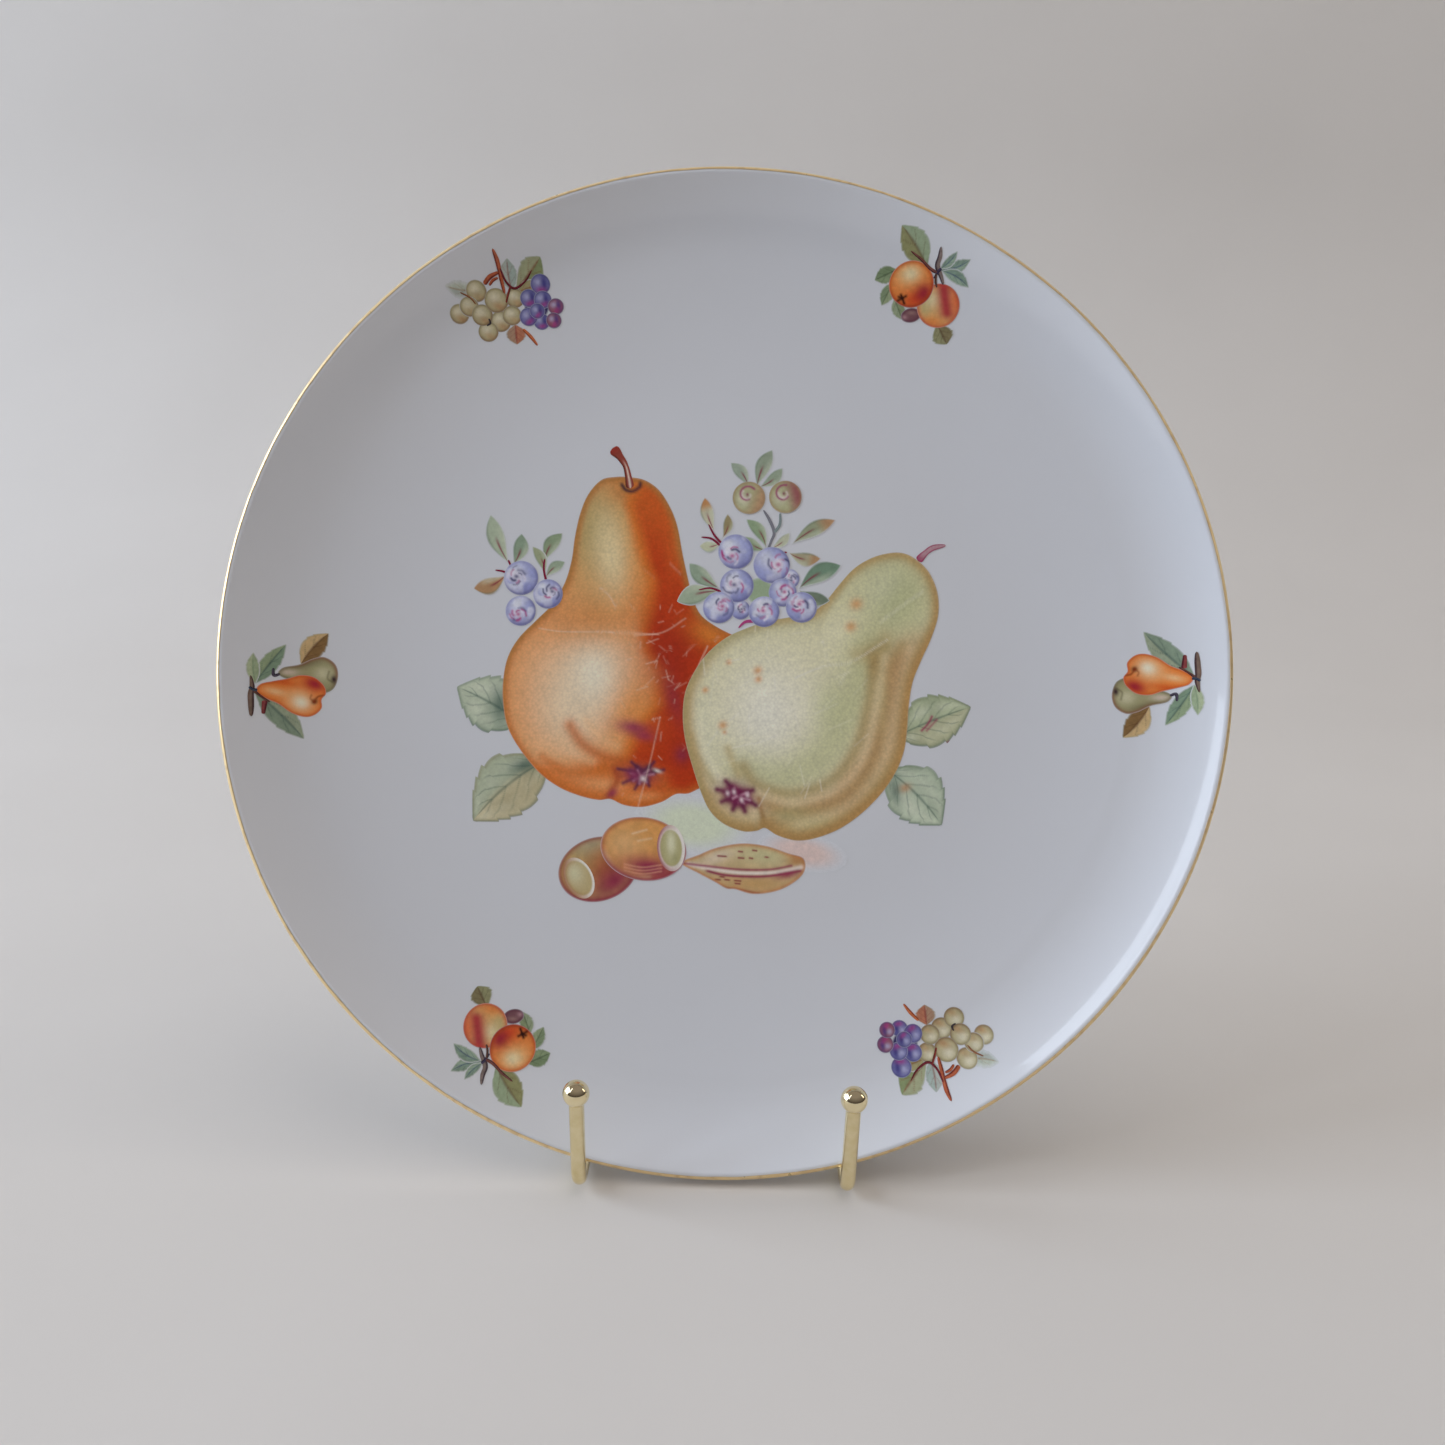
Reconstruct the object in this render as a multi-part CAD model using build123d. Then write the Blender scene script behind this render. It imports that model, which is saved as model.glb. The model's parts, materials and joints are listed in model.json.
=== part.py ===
from build123d import *
import os
from math import acos, asin, atan2, cos, degrees, hypot, radians, sin, sqrt, tan

# A fruit-decorated porcelain plate, leaning back in a folding brass wire stand.
# Millimetres and degrees. +X is to the viewer's right, -Y faces the viewer, +Z is up.
# The plate's own frame has its origin at the middle of the foot's resting plane:
# "up" runs up the leaning plate, "out" runs from its back to its painted face.

# ---- Plate, driving sizes
PLATE_RADIUS = 140.0      # over the porcelain lip
WELL_RADIUS = 72.0        # flat middle
WELL_HEIGHT = 9.6         # painted face of the well above the foot's resting plane
WELL_THICKNESS = 4.0
KNUCKLE_SLOPE = 8.8       # slope where the shallow dish ends and the rim turns up
RIM_SLOPE = 38.7          # slope just inside the lip
RIM_WIDTH = 20.7          # the rim's upturned band, measured along the radius
RIM_THICKNESS = 2.6       # also the lip's thickness: the lip is a full round
FOOT_OFFSET = 6.0         # foot ring's middle, outside the flat well
FOOT_WIDTH = 4.0
FOOT_ROUND = 1.2

# ---- Colours and gilding, fired on the glaze as thin films
FILM_THICKNESS = 0.15
FILM_GAP = 0.02           # between the glaze and a film
GILT_START = -25.0        # the gilding's reach round the lip, from straight outwards
GILT_END = 85.0
SPRAY_INSET = 16.0        # a border spray's middle, in from the lip
PEAR_ANGLES = (-1, 184)   # each spray's own place round the hand-laid border,
APRICOT_ANGLES = (64, 241)    # counter-clockwise from the viewer's right
GRAPE_ANGLES = (122, 300)

# ---- Stand, driving sizes
LEAN = 20.0               # the plate and the uprights lean back
ROD_RADIUS = 2.0          # front wires
LEG_ROD_RADIUS = 1.75     # rear leg and cross brace
WIRE_X = 35.7             # side wires, each side of the middle
BEND_RADIUS = 5.0
LEDGE_RISE = 5.0          # the ledge rises towards the prong
PRONG_LEAN = 9.0          # the prong leans forward
PRONG_CLEARANCE = 3.5     # between the lip's front and the prong's foot
BALL_RADIUS = 3.5
BALL_HEIGHT = 34.0        # ball's centre above the table
BALL_SOCKET = 0.6         # the rod's end stops this far below the ball's centre
ARCH_SPRING = 59.0        # where the arch springs from the uprights, up from the plate's middle
BRACE_UP = -60.0          # cross brace, down from the plate's middle
PIVOT_UP = 45.0           # rear leg's hinge, up from the plate's middle
PIVOT_BACK = 12.0         # and behind the foot's resting plane
LEG_LEAN = 18.0           # the open leg slopes back from upright
LUG_RADIUS = 4.0
LUG_THICKNESS = 1.6
RIVET_RADIUS = 1.2
RIVET_HEAD_RADIUS = 2.2
RIVET_HEAD_HEIGHT = 1.0
BAR_OVERHANG = 2.5        # foot bar and stop bar run on past the outer wire

# ---- Clearances
SEAT_GAP = 0.3            # between pieces on different bodies
BRAZE_GAP = 0.02          # between brazed or pressed pieces
PIN_GAP = 0.05            # radial, for the leg's eye on its rivet


# ---- The plate's section: two tangent arcs rise from the flat well to a full-round lip
knuckle_angle = radians(KNUCKLE_SLOPE)
rim_angle = radians(RIM_SLOPE)
rim_end_radius = PLATE_RADIUS - RIM_THICKNESS / 2 * (1 + sin(rim_angle))
knuckle_radius = rim_end_radius - RIM_WIDTH
dish_arc = (knuckle_radius - WELL_RADIUS) / sin(knuckle_angle)
rim_arc = RIM_WIDTH / (sin(rim_angle) - sin(knuckle_angle))
dish_centre = (WELL_RADIUS, WELL_HEIGHT + dish_arc)
knuckle_height = dish_centre[1] - dish_arc * cos(knuckle_angle)
rim_centre = (knuckle_radius - rim_arc * sin(knuckle_angle), knuckle_height + rim_arc * cos(knuckle_angle))
lip_radius = PLATE_RADIUS - RIM_THICKNESS / 2
lip_out = rim_centre[1] - (rim_arc + RIM_THICKNESS / 2) * cos(rim_angle)
film_top = FILM_GAP + FILM_THICKNESS


def face_line(rise):
    """The painted face's section from the axis to the lip, raised by rise along its normal."""
    flat = Line((0, WELL_HEIGHT + rise), (WELL_RADIUS, WELL_HEIGHT + rise))
    dish = CenterArc(dish_centre, dish_arc - rise, -90, KNUCKLE_SLOPE)
    rim = CenterArc(rim_centre, rim_arc - rise, KNUCKLE_SLOPE - 90, RIM_SLOPE - KNUCKLE_SLOPE)
    return [flat, dish, rim]


def spun(edges):
    """The closed section that the edges bound, turned once round the plate's axis."""
    return revolve(Plane.XZ * make_face(edges), Axis.Z)


def porcelain_body():
    """Well, dish and rim of even thickness on a round-edged foot ring."""
    foot_inner = WELL_RADIUS + FOOT_OFFSET - FOOT_WIDTH / 2
    foot_outer = foot_inner + FOOT_WIDTH
    underside = WELL_HEIGHT - WELL_THICKNESS
    back_arc = dish_arc + RIM_THICKNESS
    foot_angle = degrees(asin((foot_outer - WELL_RADIUS) / back_arc))
    foot_top = dish_centre[1] - back_arc * cos(radians(foot_angle))
    lip = CenterArc((lip_radius, lip_out), RIM_THICKNESS / 2, RIM_SLOPE - 90, 180)
    rim_back = CenterArc(rim_centre, rim_arc + RIM_THICKNESS, KNUCKLE_SLOPE - 90, RIM_SLOPE - KNUCKLE_SLOPE)
    dish_back = CenterArc(dish_centre, back_arc, foot_angle - 90, KNUCKLE_SLOPE - foot_angle)
    foot = [
        Line((foot_outer, foot_top), (foot_outer, FOOT_ROUND)),
        CenterArc((foot_outer - FOOT_ROUND, FOOT_ROUND), FOOT_ROUND, -90, 90),
        Line((foot_outer - FOOT_ROUND, 0), (foot_inner + FOOT_ROUND, 0)),
        CenterArc((foot_inner + FOOT_ROUND, FOOT_ROUND), FOOT_ROUND, 180, 90),
        Polyline((foot_inner, FOOT_ROUND), (foot_inner, underside), (0, underside), (0, WELL_HEIGHT)),
    ]
    return spun(face_line(0) + [lip, rim_back, dish_back] + foot)


def gilt_line():
    """A thin band of gold laid over the round of the lip."""
    bottom = RIM_THICKNESS / 2 + FILM_GAP
    top = RIM_THICKNESS / 2 + film_top
    band = CenterArc((lip_radius, lip_out), bottom, GILT_START, GILT_END - GILT_START)
    cover = CenterArc((lip_radius, lip_out), top, GILT_START, GILT_END - GILT_START)
    return spun([band, cover, Line(band @ 0, cover @ 0), Line(band @ 1, cover @ 1)])


def film_layer():
    """The whole layer just above the painted face, from which each film is cut."""
    lower = face_line(FILM_GAP)
    upper = face_line(film_top)
    middle = Line(lower[0] @ 0, upper[0] @ 0)
    lip_end = Line(lower[-1] @ 1, upper[-1] @ 1)
    return spun(lower + upper + [middle, lip_end])


def film(outline):
    """A fired film: the outline, drawn square to the plate, cut out of the film layer."""
    return extrude(outline, PLATE_RADIUS) & layer


# ---- Outlines of the painted fruit, drawn in the plate's own plane
def taper(x0, y0, radius0, x1, y1, radius1):
    """Two discs and the tangent lines between them: a pear, or a stem when both are alike."""
    heading = atan2(y1 - y0, x1 - x0)
    spread = acos((radius0 - radius1) / hypot(x1 - x0, y1 - y0))
    corners = []
    for side, ends in ((1, (0, 1)), (-1, (1, 0))):
        for end in ends:
            x, y, radius = ((x0, y0, radius0), (x1, y1, radius1))[end]
            turn = heading + side * spread
            corners.append((x + radius * cos(turn), y + radius * sin(turn)))
    return make_face(Polyline(*corners, close=True)) + disc(x0, y0, radius0) + disc(x1, y1, radius1)


def disc(x, y, radius):
    """A round fruit or berry."""
    return Pos(x, y) * Circle(radius)


def leaf(x0, y0, x1, y1, width):
    """A leaf of two arcs from its base to its tip."""
    length = hypot(x1 - x0, y1 - y0)
    across = ((y0 - y1) / length * width / 2, (x1 - x0) / length * width / 2)
    middle = ((x0 + x1) / 2, (y0 + y1) / 2)
    left = ThreePointArc((x0, y0), (middle[0] + across[0], middle[1] + across[1]), (x1, y1))
    right = ThreePointArc((x1, y1), (middle[0] - across[0], middle[1] - across[1]), (x0, y0))
    return make_face(left + right)


def joined(shapes):
    """One outline from many overlapping ones."""
    whole = shapes[0]
    for shape in shapes[1:]:
        whole += shape
    return whole


def centre_outlines():
    """The well's fruit, each cut back where a nearer one covers it."""
    green_stem = taper(54, 30, 1.6, 62, 36.5, 1.6)
    green = joined([taper(20, -20, 28, 46, 20, 14), disc(1, -30, 15), green_stem])
    amber_stem = taper(-29, 50, 1.5, -33, 61.5, 1.5)
    amber = joined([taper(-33, -10, 29, -28, 40, 14), disc(-30, -24, 15), amber_stem]) - green
    nuts = joined([disc(-36.5, -58, 6.5), disc(-23, -52.5, 9)])
    almond = leaf(-11.5, -55.5, 23.5, -57, 14)
    left = leaf(-58, -21, -74, -7, 12) + leaf(-52, -28, -69.5, -44, 15)
    right = leaf(50, -23, 68.5, -10, 12) + leaf(50, -27, 61.5, -43, 14)
    side_berries = joined([disc(-58.6, 24.3, 4.6), disc(-50.8, 20, 3.7), disc(-58.4, 14.8, 4.2)])
    side_berries += joined([leaf(-55, 26, -53, 37, 5), leaf(-60, 28, -66, 33, 4.5)])
    places = [(5.8, 48.8, 4.5), (16, 49, 4.5), (2.4, 33.2, 4.8), (12.5, 29.6, 5), (3, 23, 4.5)]
    places += [(-2, 17, 4.4), (4.5, 15.5, 3.5), (11, 15.8, 4.4), (21.3, 17.8, 4.4), (17.5, 23, 3.8)]
    cluster = joined([disc(x, y, radius) for x, y, radius in places])
    cluster += joined([leaf(8, 40, 9.5, 61.5, 8), leaf(2, 38, -6, 44, 5), leaf(18, 38, 27, 45, 6)])
    return {
        "pear_green": green,
        "pear_amber": amber,
        "leaves_left": left - amber,
        "leaves_right": right - green,
        "berries_left": side_berries - amber,
        "berries_centre": cluster - amber - green,
        "hazelnuts": nuts - amber,
        "almond": almond - green - nuts,
    }


def pear_spray():
    """An orange pear over a green one, with four leaves on a cut twig. Outwards is +X."""
    fruit = [taper(-3.7, 2.5, 5.7, 6.1, 1.1, 2.2), taper(-9, -3.5, 4.9, 1.8, -3.9, 1.4)]
    leaves = [leaf(8.6, 2, -3.7, 14.3, 6), leaf(-2.8, -6.9, -9.6, -14.9, 5.5)]
    leaves += [leaf(8.8, -0.3, 1.8, -11.4, 5), leaf(9.3, -0.3, 10.6, -8.9, 3.3)]
    twig = [taper(9.2, 8.8, 0.6, 10.6, 2.5, 0.6), taper(10.6, 2.5, 0.6, 10.4, -1.9, 0.6)]
    return joined(fruit + leaves + twig)


def apricot_spray():
    """Two apricots under a forked twig, with leaves all round."""
    fruit = [disc(-2.8, 0.7, 6.2), disc(5, -5.2, 5.9), disc(-2.7, -7.6, 2.3)]
    leaves = [leaf(0.6, 6.5, -6.2, 15.3, 6.6), leaf(5.3, 4.2, 12.8, 6.1, 3.6), leaf(5.8, 4, 12.8, 0, 3)]
    leaves += [leaf(-7.6, 4.4, -12.9, 2.6, 4.4), leaf(-8.5, 0.4, -10.5, -4.5, 3)]
    leaves += [leaf(-7.4, -3.6, -5.1, -8, 3), leaf(4.6, -10, 7.5, -15.2, 5.4)]
    twig = [taper(4.9, 9.7, 0.5, 4.4, 5.2, 0.5), taper(4.4, 5.2, 0.5, 6.1, 0.4, 0.5)]
    twig += [taper(-2.5, 9, 0.4, 4.4, 4, 0.4)]
    return joined(fruit + leaves + twig)


def grape_spray():
    """Pale and blue grapes with vine leaves and red-brown tendrils."""
    places = [(-2.7, -0.6, 3.1), (2.5, 0.4, 2.4), (1.7, -4.4, 2.5), (-6.6, -4.8, 2.7), (-10.2, -2.8, 2.6)]
    places += [(-12.9, -5, 2.5), (-8.2, 1.4, 2.5), (-1.5, -6.2, 2.5), (-4.9, -9.2, 2.5), (9.6, 4.6, 2.6)]
    places += [(6.4, 0.6, 2.3), (10.3, 0.4, 2.3), (6.4, -4.5, 2.5), (14, -1.3, 2.2), (13.5, -5.2, 2.1)]
    places += [(10.1, -5.7, 2.1), (8.8, -3, 2), (2.7, -9.2, 2.7)]
    fruit = [disc(x, y, radius) for x, y, radius in places]
    leaves = [leaf(2.5, 2.2, 7.4, 11.4, 5), leaf(1.2, 2.2, 0.2, 10.7, 3.5), leaf(-7, 2.3, -16, 1.9, 4)]
    tendrils = [taper(-3.2, 11.9, 0.5, -1.7, 7.8, 0.6), taper(-1.7, 7.8, 0.6, -0.6, 1.6, 0.6)]
    tendrils += [taper(5, -8, 0.4, 8.8, -12.1, 0.4)]
    return joined(fruit + leaves + tendrils)


def spray_films():
    """Three designs, each laid twice: first upright, then opposite and half a turn round."""
    radius = rim_end_radius - SPRAY_INSET
    designs = [
        ("spray_pears", pear_spray(), PEAR_ANGLES, ("right", "left")),
        ("spray_apricots", apricot_spray(), APRICOT_ANGLES, ("top", "bottom")),
        ("spray_grapes", grape_spray(), GRAPE_ANGLES, ("top", "bottom")),
    ]
    films = {}
    for name, outline, angles, sides in designs:
        for angle, side, turn in zip(angles, sides, (0, 180)):
            place = Pos(radius * cos(radians(angle)), radius * sin(radians(angle)))
            films[name + "_" + side] = film(place * Rot(0, 0, turn) * outline)
    return films


# ---- The stand's places, as (y, z) offsets from the middle of the foot's resting plane
def leaned(up, out):
    """The (y, z) offset of a point given in the plate's own frame."""
    angle = radians(LEAN)
    return up * sin(angle) - out * cos(angle), up * cos(angle) + out * sin(angle)


upright_out = -(ROD_RADIUS + SEAT_GAP)
ledge_slope = radians(LEDGE_RISE)

# The ledge passes under the lip and runs back and down to the upright's line.
ledge_up = -sqrt((PLATE_RADIUS + film_top + SEAT_GAP + ROD_RADIUS) ** 2 - WIRE_X ** 2)
heel_up = ledge_up + (lip_out - upright_out) * tan(radians(LEAN - LEDGE_RISE))
heel_y, heel_z = leaned(heel_up, upright_out)

# The heel's bend rests on the table: its lowest point is a little above the two runs' corner.
heel_turn = radians(90 - LEAN + LEDGE_RISE)
bend_rise = BEND_RADIUS * (tan(heel_turn / 2) * sin(ledge_slope) + cos(ledge_slope) - 1)
foot_z = ROD_RADIUS - bend_rise - heel_z

# The prong starts in front of the lip where the lip crosses the side wire.
lip_y = leaned(-sqrt(lip_radius ** 2 - WIRE_X ** 2), lip_out)[0]
prong_foot_y = lip_y - RIM_THICKNESS / 2 - PRONG_CLEARANCE - ROD_RADIUS
prong_foot_z = heel_z + foot_z + (heel_y - prong_foot_y) * tan(ledge_slope)
ball_y = prong_foot_y - (BALL_HEIGHT - prong_foot_z) * tan(radians(PRONG_LEAN))

# The rear leg runs from its rivets down to the foot bar, and up past them to the stop bar.
pivot_y, pivot_z = leaned(PIVOT_UP, -PIVOT_BACK)
pivot_z += foot_z
leg_drop = pivot_z - LEG_ROD_RADIUS
foot_bar_y = pivot_y + leg_drop * tan(radians(LEG_LEAN))
leg_spread = LEAN + LEG_LEAN
stop_reach = PIVOT_BACK + upright_out - ROD_RADIUS - SEAT_GAP - LEG_ROD_RADIUS
stop_length = stop_reach / sin(radians(leg_spread))

# The whole is centred front to back between the ball's front and the foot bar's back.
foot_y = -(ball_y - BALL_RADIUS + foot_bar_y + LEG_ROD_RADIUS) / 2
out_dir = (0, *leaned(0, 1))
leaning = Plane(origin=(0, foot_y, foot_z), x_dir=(1, 0, 0), z_dir=out_dir)
eye_x = WIRE_X - LUG_THICKNESS / 2 - SEAT_GAP - LEG_ROD_RADIUS


def on_plate(x, up, out):
    """A point of the plate's own frame, in the stand's frame."""
    return leaning.from_local_coords(Vector(x, up, out))


def rod(start, end, radius):
    """A straight round rod between two points."""
    axis = Vector(end) - Vector(start)
    return Solid.make_cylinder(radius, axis.length, Plane(origin=start, z_dir=axis))


def swept_rod(path):
    """Round front wire bent along path."""
    return sweep(Plane(origin=path @ 0, z_dir=path % 0) * Circle(ROD_RADIUS), path=path)


def upright_ends(side):
    """The upright's centreline, from the heel's corner to the spring of the arch."""
    x = side * WIRE_X
    return on_plate(x, heel_up, upright_out), on_plate(x, ARCH_SPRING, upright_out)


def prong_places(side):
    """The ball's centre, the prong's foot and the rod's end inside the ball."""
    ball = Vector(side * WIRE_X, ball_y + foot_y, BALL_HEIGHT)
    prong_foot = Vector(side * WIRE_X, prong_foot_y + foot_y, prong_foot_z)
    return ball, prong_foot, ball + (prong_foot - ball).normalized() * BALL_SOCKET


def side_wire(side):
    """One bent wire: prong, ledge under the lip, heel on the table and upright."""
    _, prong_foot, tip = prong_places(side)
    heel, spring = upright_ends(side)
    return swept_rod(FilletPolyline(tip, prong_foot, heel, spring, radius=BEND_RADIUS))


def prong_ball(side):
    """A polished ball, bored to sit over the prong's end."""
    ball, prong_foot, tip = prong_places(side)
    return Pos(ball) * Sphere(BALL_RADIUS) - rod(tip, prong_foot, ROD_RADIUS + BRAZE_GAP)


def arch_half(start_angle):
    """A quarter round of the arch that joins the uprights, from its springing or its crown."""
    quarter = CenterArc((0, ARCH_SPRING, upright_out), WIRE_X, start_angle, 90)
    return swept_rod(leaning * quarter)


def cross_brace():
    """A thinner rod between the uprights, coped to them."""
    left, right = (on_plate(side * WIRE_X, BRACE_UP, upright_out) for side in (-1, 1))
    return rod(left, right, LEG_ROD_RADIUS) - upright_bore(-1) - upright_bore(1)


def upright_bore(side):
    """The space an upright takes, with its brazing gap, for what is coped to it."""
    return rod(*upright_ends(side), ROD_RADIUS + BRAZE_GAP)


def hinge_lug(side):
    """A small plate brazed behind an upright, round-ended and drilled for the rivet."""
    reach = PIVOT_BACK + upright_out
    blank = Pos(0, reach / 2) * Rectangle(2 * LUG_RADIUS, reach) + Circle(LUG_RADIUS)
    blank -= Circle(RIVET_RADIUS + BRAZE_GAP)
    pivot = on_plate(side * WIRE_X, PIVOT_UP, -PIVOT_BACK)
    across = Plane(origin=pivot, x_dir=-leaning.y_dir, z_dir=(1, 0, 0))
    return across * extrude(blank, LUG_THICKNESS / 2, both=True) - upright_bore(side)


def hinge_rivet(side):
    """The leg's pivot pin: a shank through lug and eye, with a low head at each end."""
    inner = eye_x - LEG_ROD_RADIUS - SEAT_GAP
    outer = WIRE_X + LUG_THICKNESS / 2 + BRAZE_GAP

    def point(x):
        return on_plate(side * x, PIVOT_UP, -PIVOT_BACK)

    shank = rod(point(inner), point(outer), RIVET_RADIUS)
    heads = rod(point(inner - RIVET_HEAD_HEIGHT), point(inner), RIVET_HEAD_RADIUS)
    heads += rod(point(outer), point(outer + RIVET_HEAD_HEIGHT), RIVET_HEAD_RADIUS)
    return shank + heads


def leg_wire(side):
    """One wire of the rear leg, flattened to an eye at the hinge and coped to both bars."""
    x = side * eye_x
    pivot = Vector(x, pivot_y + foot_y, pivot_z)
    foot = Vector(x, foot_bar_y + foot_y, LEG_ROD_RADIUS)
    along = (pivot - foot).normalized()
    stop = pivot + along * stop_length
    eye = rod(pivot - Vector(LEG_ROD_RADIUS, 0, 0), pivot + Vector(LEG_ROD_RADIUS, 0, 0), LUG_RADIUS)
    bore = rod(pivot - Vector(LUG_RADIUS, 0, 0), pivot + Vector(LUG_RADIUS, 0, 0), RIVET_RADIUS + PIN_GAP)
    wire = rod(foot, stop, LEG_ROD_RADIUS) + eye - bore
    return wire - bar(foot, BRAZE_GAP) - bar(stop, BRAZE_GAP)


def bar(centre, gap):
    """A cross bar of the rear leg through centre, or with a gap the space it takes."""
    reach = WIRE_X + BAR_OVERHANG
    start = Vector(-reach, centre.Y, centre.Z)
    end = Vector(reach, centre.Y, centre.Z)
    return rod(start, end, LEG_ROD_RADIUS + gap)


def foot_bar():
    """The bar that rests on the table behind the plate."""
    return bar(Vector(0, foot_bar_y + foot_y, LEG_ROD_RADIUS), 0)


def stop_bar():
    """The bar that bears on the uprights' backs when the leg is open."""
    angle = radians(LEG_LEAN)
    return bar(Vector(0, pivot_y + foot_y - stop_length * sin(angle), pivot_z + stop_length * cos(angle)), 0)


# ---- Build every node and write it out
layer = film_layer()
plate = {"porcelain_body": porcelain_body(), "gilt_line": gilt_line()}
for node, outline in centre_outlines().items():
    plate[node] = film(outline)
plate.update(spray_films())

pieces = {node: leaning.location * shape for node, shape in plate.items()}
for name, side in (("left", -1), ("right", 1)):
    pieces["side_wire_" + name] = side_wire(side)
    pieces["prong_ball_" + name] = prong_ball(side)
    pieces["hinge_lug_" + name] = hinge_lug(side)
    pieces["hinge_rivet_" + name] = hinge_rivet(side)
    pieces["leg_wire_" + name] = leg_wire(side)
pieces["top_arch_right"] = arch_half(0)
pieces["top_arch_left"] = arch_half(90)
pieces["cross_brace"] = cross_brace()
pieces["foot_bar"] = foot_bar()
pieces["stop_bar"] = stop_bar()

os.makedirs("parts", exist_ok=True)
for node, shape in pieces.items():
    export_step(shape, "parts/" + node + ".step")
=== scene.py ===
import json
from math import cos, log, pi, radians, sin

import bpy
import numpy as np
from mathutils import Matrix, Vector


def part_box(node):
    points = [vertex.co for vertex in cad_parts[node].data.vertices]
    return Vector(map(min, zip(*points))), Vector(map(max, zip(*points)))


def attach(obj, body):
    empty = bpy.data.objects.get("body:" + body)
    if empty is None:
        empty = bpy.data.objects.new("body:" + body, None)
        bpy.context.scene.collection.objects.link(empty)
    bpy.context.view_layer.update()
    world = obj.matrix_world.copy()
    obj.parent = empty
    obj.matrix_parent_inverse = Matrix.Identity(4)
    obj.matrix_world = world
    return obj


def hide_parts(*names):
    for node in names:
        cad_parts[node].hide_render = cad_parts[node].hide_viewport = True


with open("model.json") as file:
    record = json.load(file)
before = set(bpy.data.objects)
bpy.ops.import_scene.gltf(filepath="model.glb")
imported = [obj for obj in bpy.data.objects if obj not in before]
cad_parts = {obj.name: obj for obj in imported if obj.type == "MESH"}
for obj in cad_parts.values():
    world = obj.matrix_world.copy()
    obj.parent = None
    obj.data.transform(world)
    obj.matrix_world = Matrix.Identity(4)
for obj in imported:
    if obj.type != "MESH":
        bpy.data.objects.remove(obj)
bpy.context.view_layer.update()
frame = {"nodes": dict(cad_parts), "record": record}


# ---- The viewer
# Someone standing at the table's edge, a little above the plate and looking down at it,
# with the head tipped by a degree. The plate's own directions are worked out here.
LEAN = radians(20)
RIGHT = np.array([1.0, 0.0, 0.0])
UP = np.array([0.0, sin(LEAN), cos(LEAN)])
OUT = np.array([0.0, -cos(LEAN), sin(LEAN)])
lip_centre = (np.array(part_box("porcelain_body")[0]) + np.array(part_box("porcelain_body")[1])) / 2

PITCH = radians(17)
TIP = radians(1.3)
gaze = np.array([0.0, cos(PITCH), -sin(PITCH)])
crown = np.array([0.0, sin(PITCH), cos(PITCH)])
AWAY = 0.386               # metres from the plate, and how far down and left of its middle
DOWN = 0.0162
ACROSS = 0.0003
eye = lip_centre - AWAY * gaze - DOWN * crown - ACROSS * RIGHT
view_right = RIGHT * cos(TIP) + crown * sin(TIP)
view_up = crown * cos(TIP) - RIGHT * sin(TIP)
camera = bpy.data.objects.new("viewer", bpy.data.cameras.new("viewer"))
camera.data.sensor_width = 36
camera.data.lens = 34.88
camera.data.clip_start = 0.01
view_axes = zip(view_right, view_up, -gaze)
camera.matrix_world = Matrix([[*row, place] for row, place in zip(view_axes, eye)] + [[0, 0, 0, 1]])
bpy.context.scene.collection.objects.link(camera)
bpy.context.scene.camera = camera
bpy.context.scene.view_settings.view_transform = "Standard"


# ---- The table and the light
# A plain pale sweep under and behind the plate. A big cool light stands off to the left, a soft one
# hangs overhead, a narrow window shines in the rim's gloss and a small warm lamp in the brass, while
# the room gives a weak light that is darker low down.
class Field:
    """A number that changes over a surface. + - * / with other fields or plain numbers add Math nodes."""

    def __init__(self, finish, socket):
        self.finish = finish
        self.socket = socket

    def sum(self, operation, first, second):
        return self.finish.node("Math", {"operation": operation}, {0: first, 1: second})

    def __add__(self, other):
        return self.sum("ADD", self, other)

    def __radd__(self, other):
        return self.sum("ADD", other, self)

    def __sub__(self, other):
        return self.sum("SUBTRACT", self, other)

    def __rsub__(self, other):
        return self.sum("SUBTRACT", other, self)

    def __mul__(self, other):
        return self.sum("MULTIPLY", self, other)

    def __rmul__(self, other):
        return self.sum("MULTIPLY", other, self)


class Finish:
    """A surface finish: one Principled shader, with fixed settings, and what varies fed to it."""

    def __init__(self, name, **fixed):
        self.material = bpy.data.materials.new(name)
        self.material.use_nodes = True
        self.tree = self.material.node_tree
        self.shader = self.tree.nodes["Principled BSDF"]
        for socket, value in fixed.items():
            self.shader.inputs[socket.replace("_", " ")].default_value = value

    def node(self, kind, settings, values, out=0):
        made = self.tree.nodes.new("ShaderNode" + kind)
        for setting, value in settings.items():
            setattr(made, setting, value)
        for socket, value in values.items():
            self.join(made.inputs[socket], value)
        return Field(self, made.outputs[out])

    def join(self, socket, value):
        if isinstance(value, Field):
            self.tree.links.new(value.socket, socket)
        else:
            socket.default_value = value

    def place(self):
        return self.node("TexCoord", {}, {}, 3)

    def noise(self, scale, detail=2.0):
        return self.node("TexNoise", {}, {"Vector": self.place(), "Scale": scale, "Detail": detail})

    def mix(self, cover, under, over):
        """The colour under, covered by over where cover is 1."""
        return self.node("Mix", {"data_type": "RGBA"}, {0: cover, 6: under, 7: over}, 2)

    def shaded(self, colour, light):
        """The colour made darker or lighter by a field near 1."""
        settings = {"data_type": "RGBA", "blend_type": "MULTIPLY"}
        return self.node("Mix", settings, {0: 1.0, 6: colour, 7: light}, 2)

    def bump(self, height, distance):
        return self.node("Bump", {}, {"Strength": 1.0, "Distance": distance, "Height": height})

    def feed(self, **varying):
        for socket, value in varying.items():
            self.join(self.shader.inputs[socket.replace("_", " ")], value)


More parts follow.
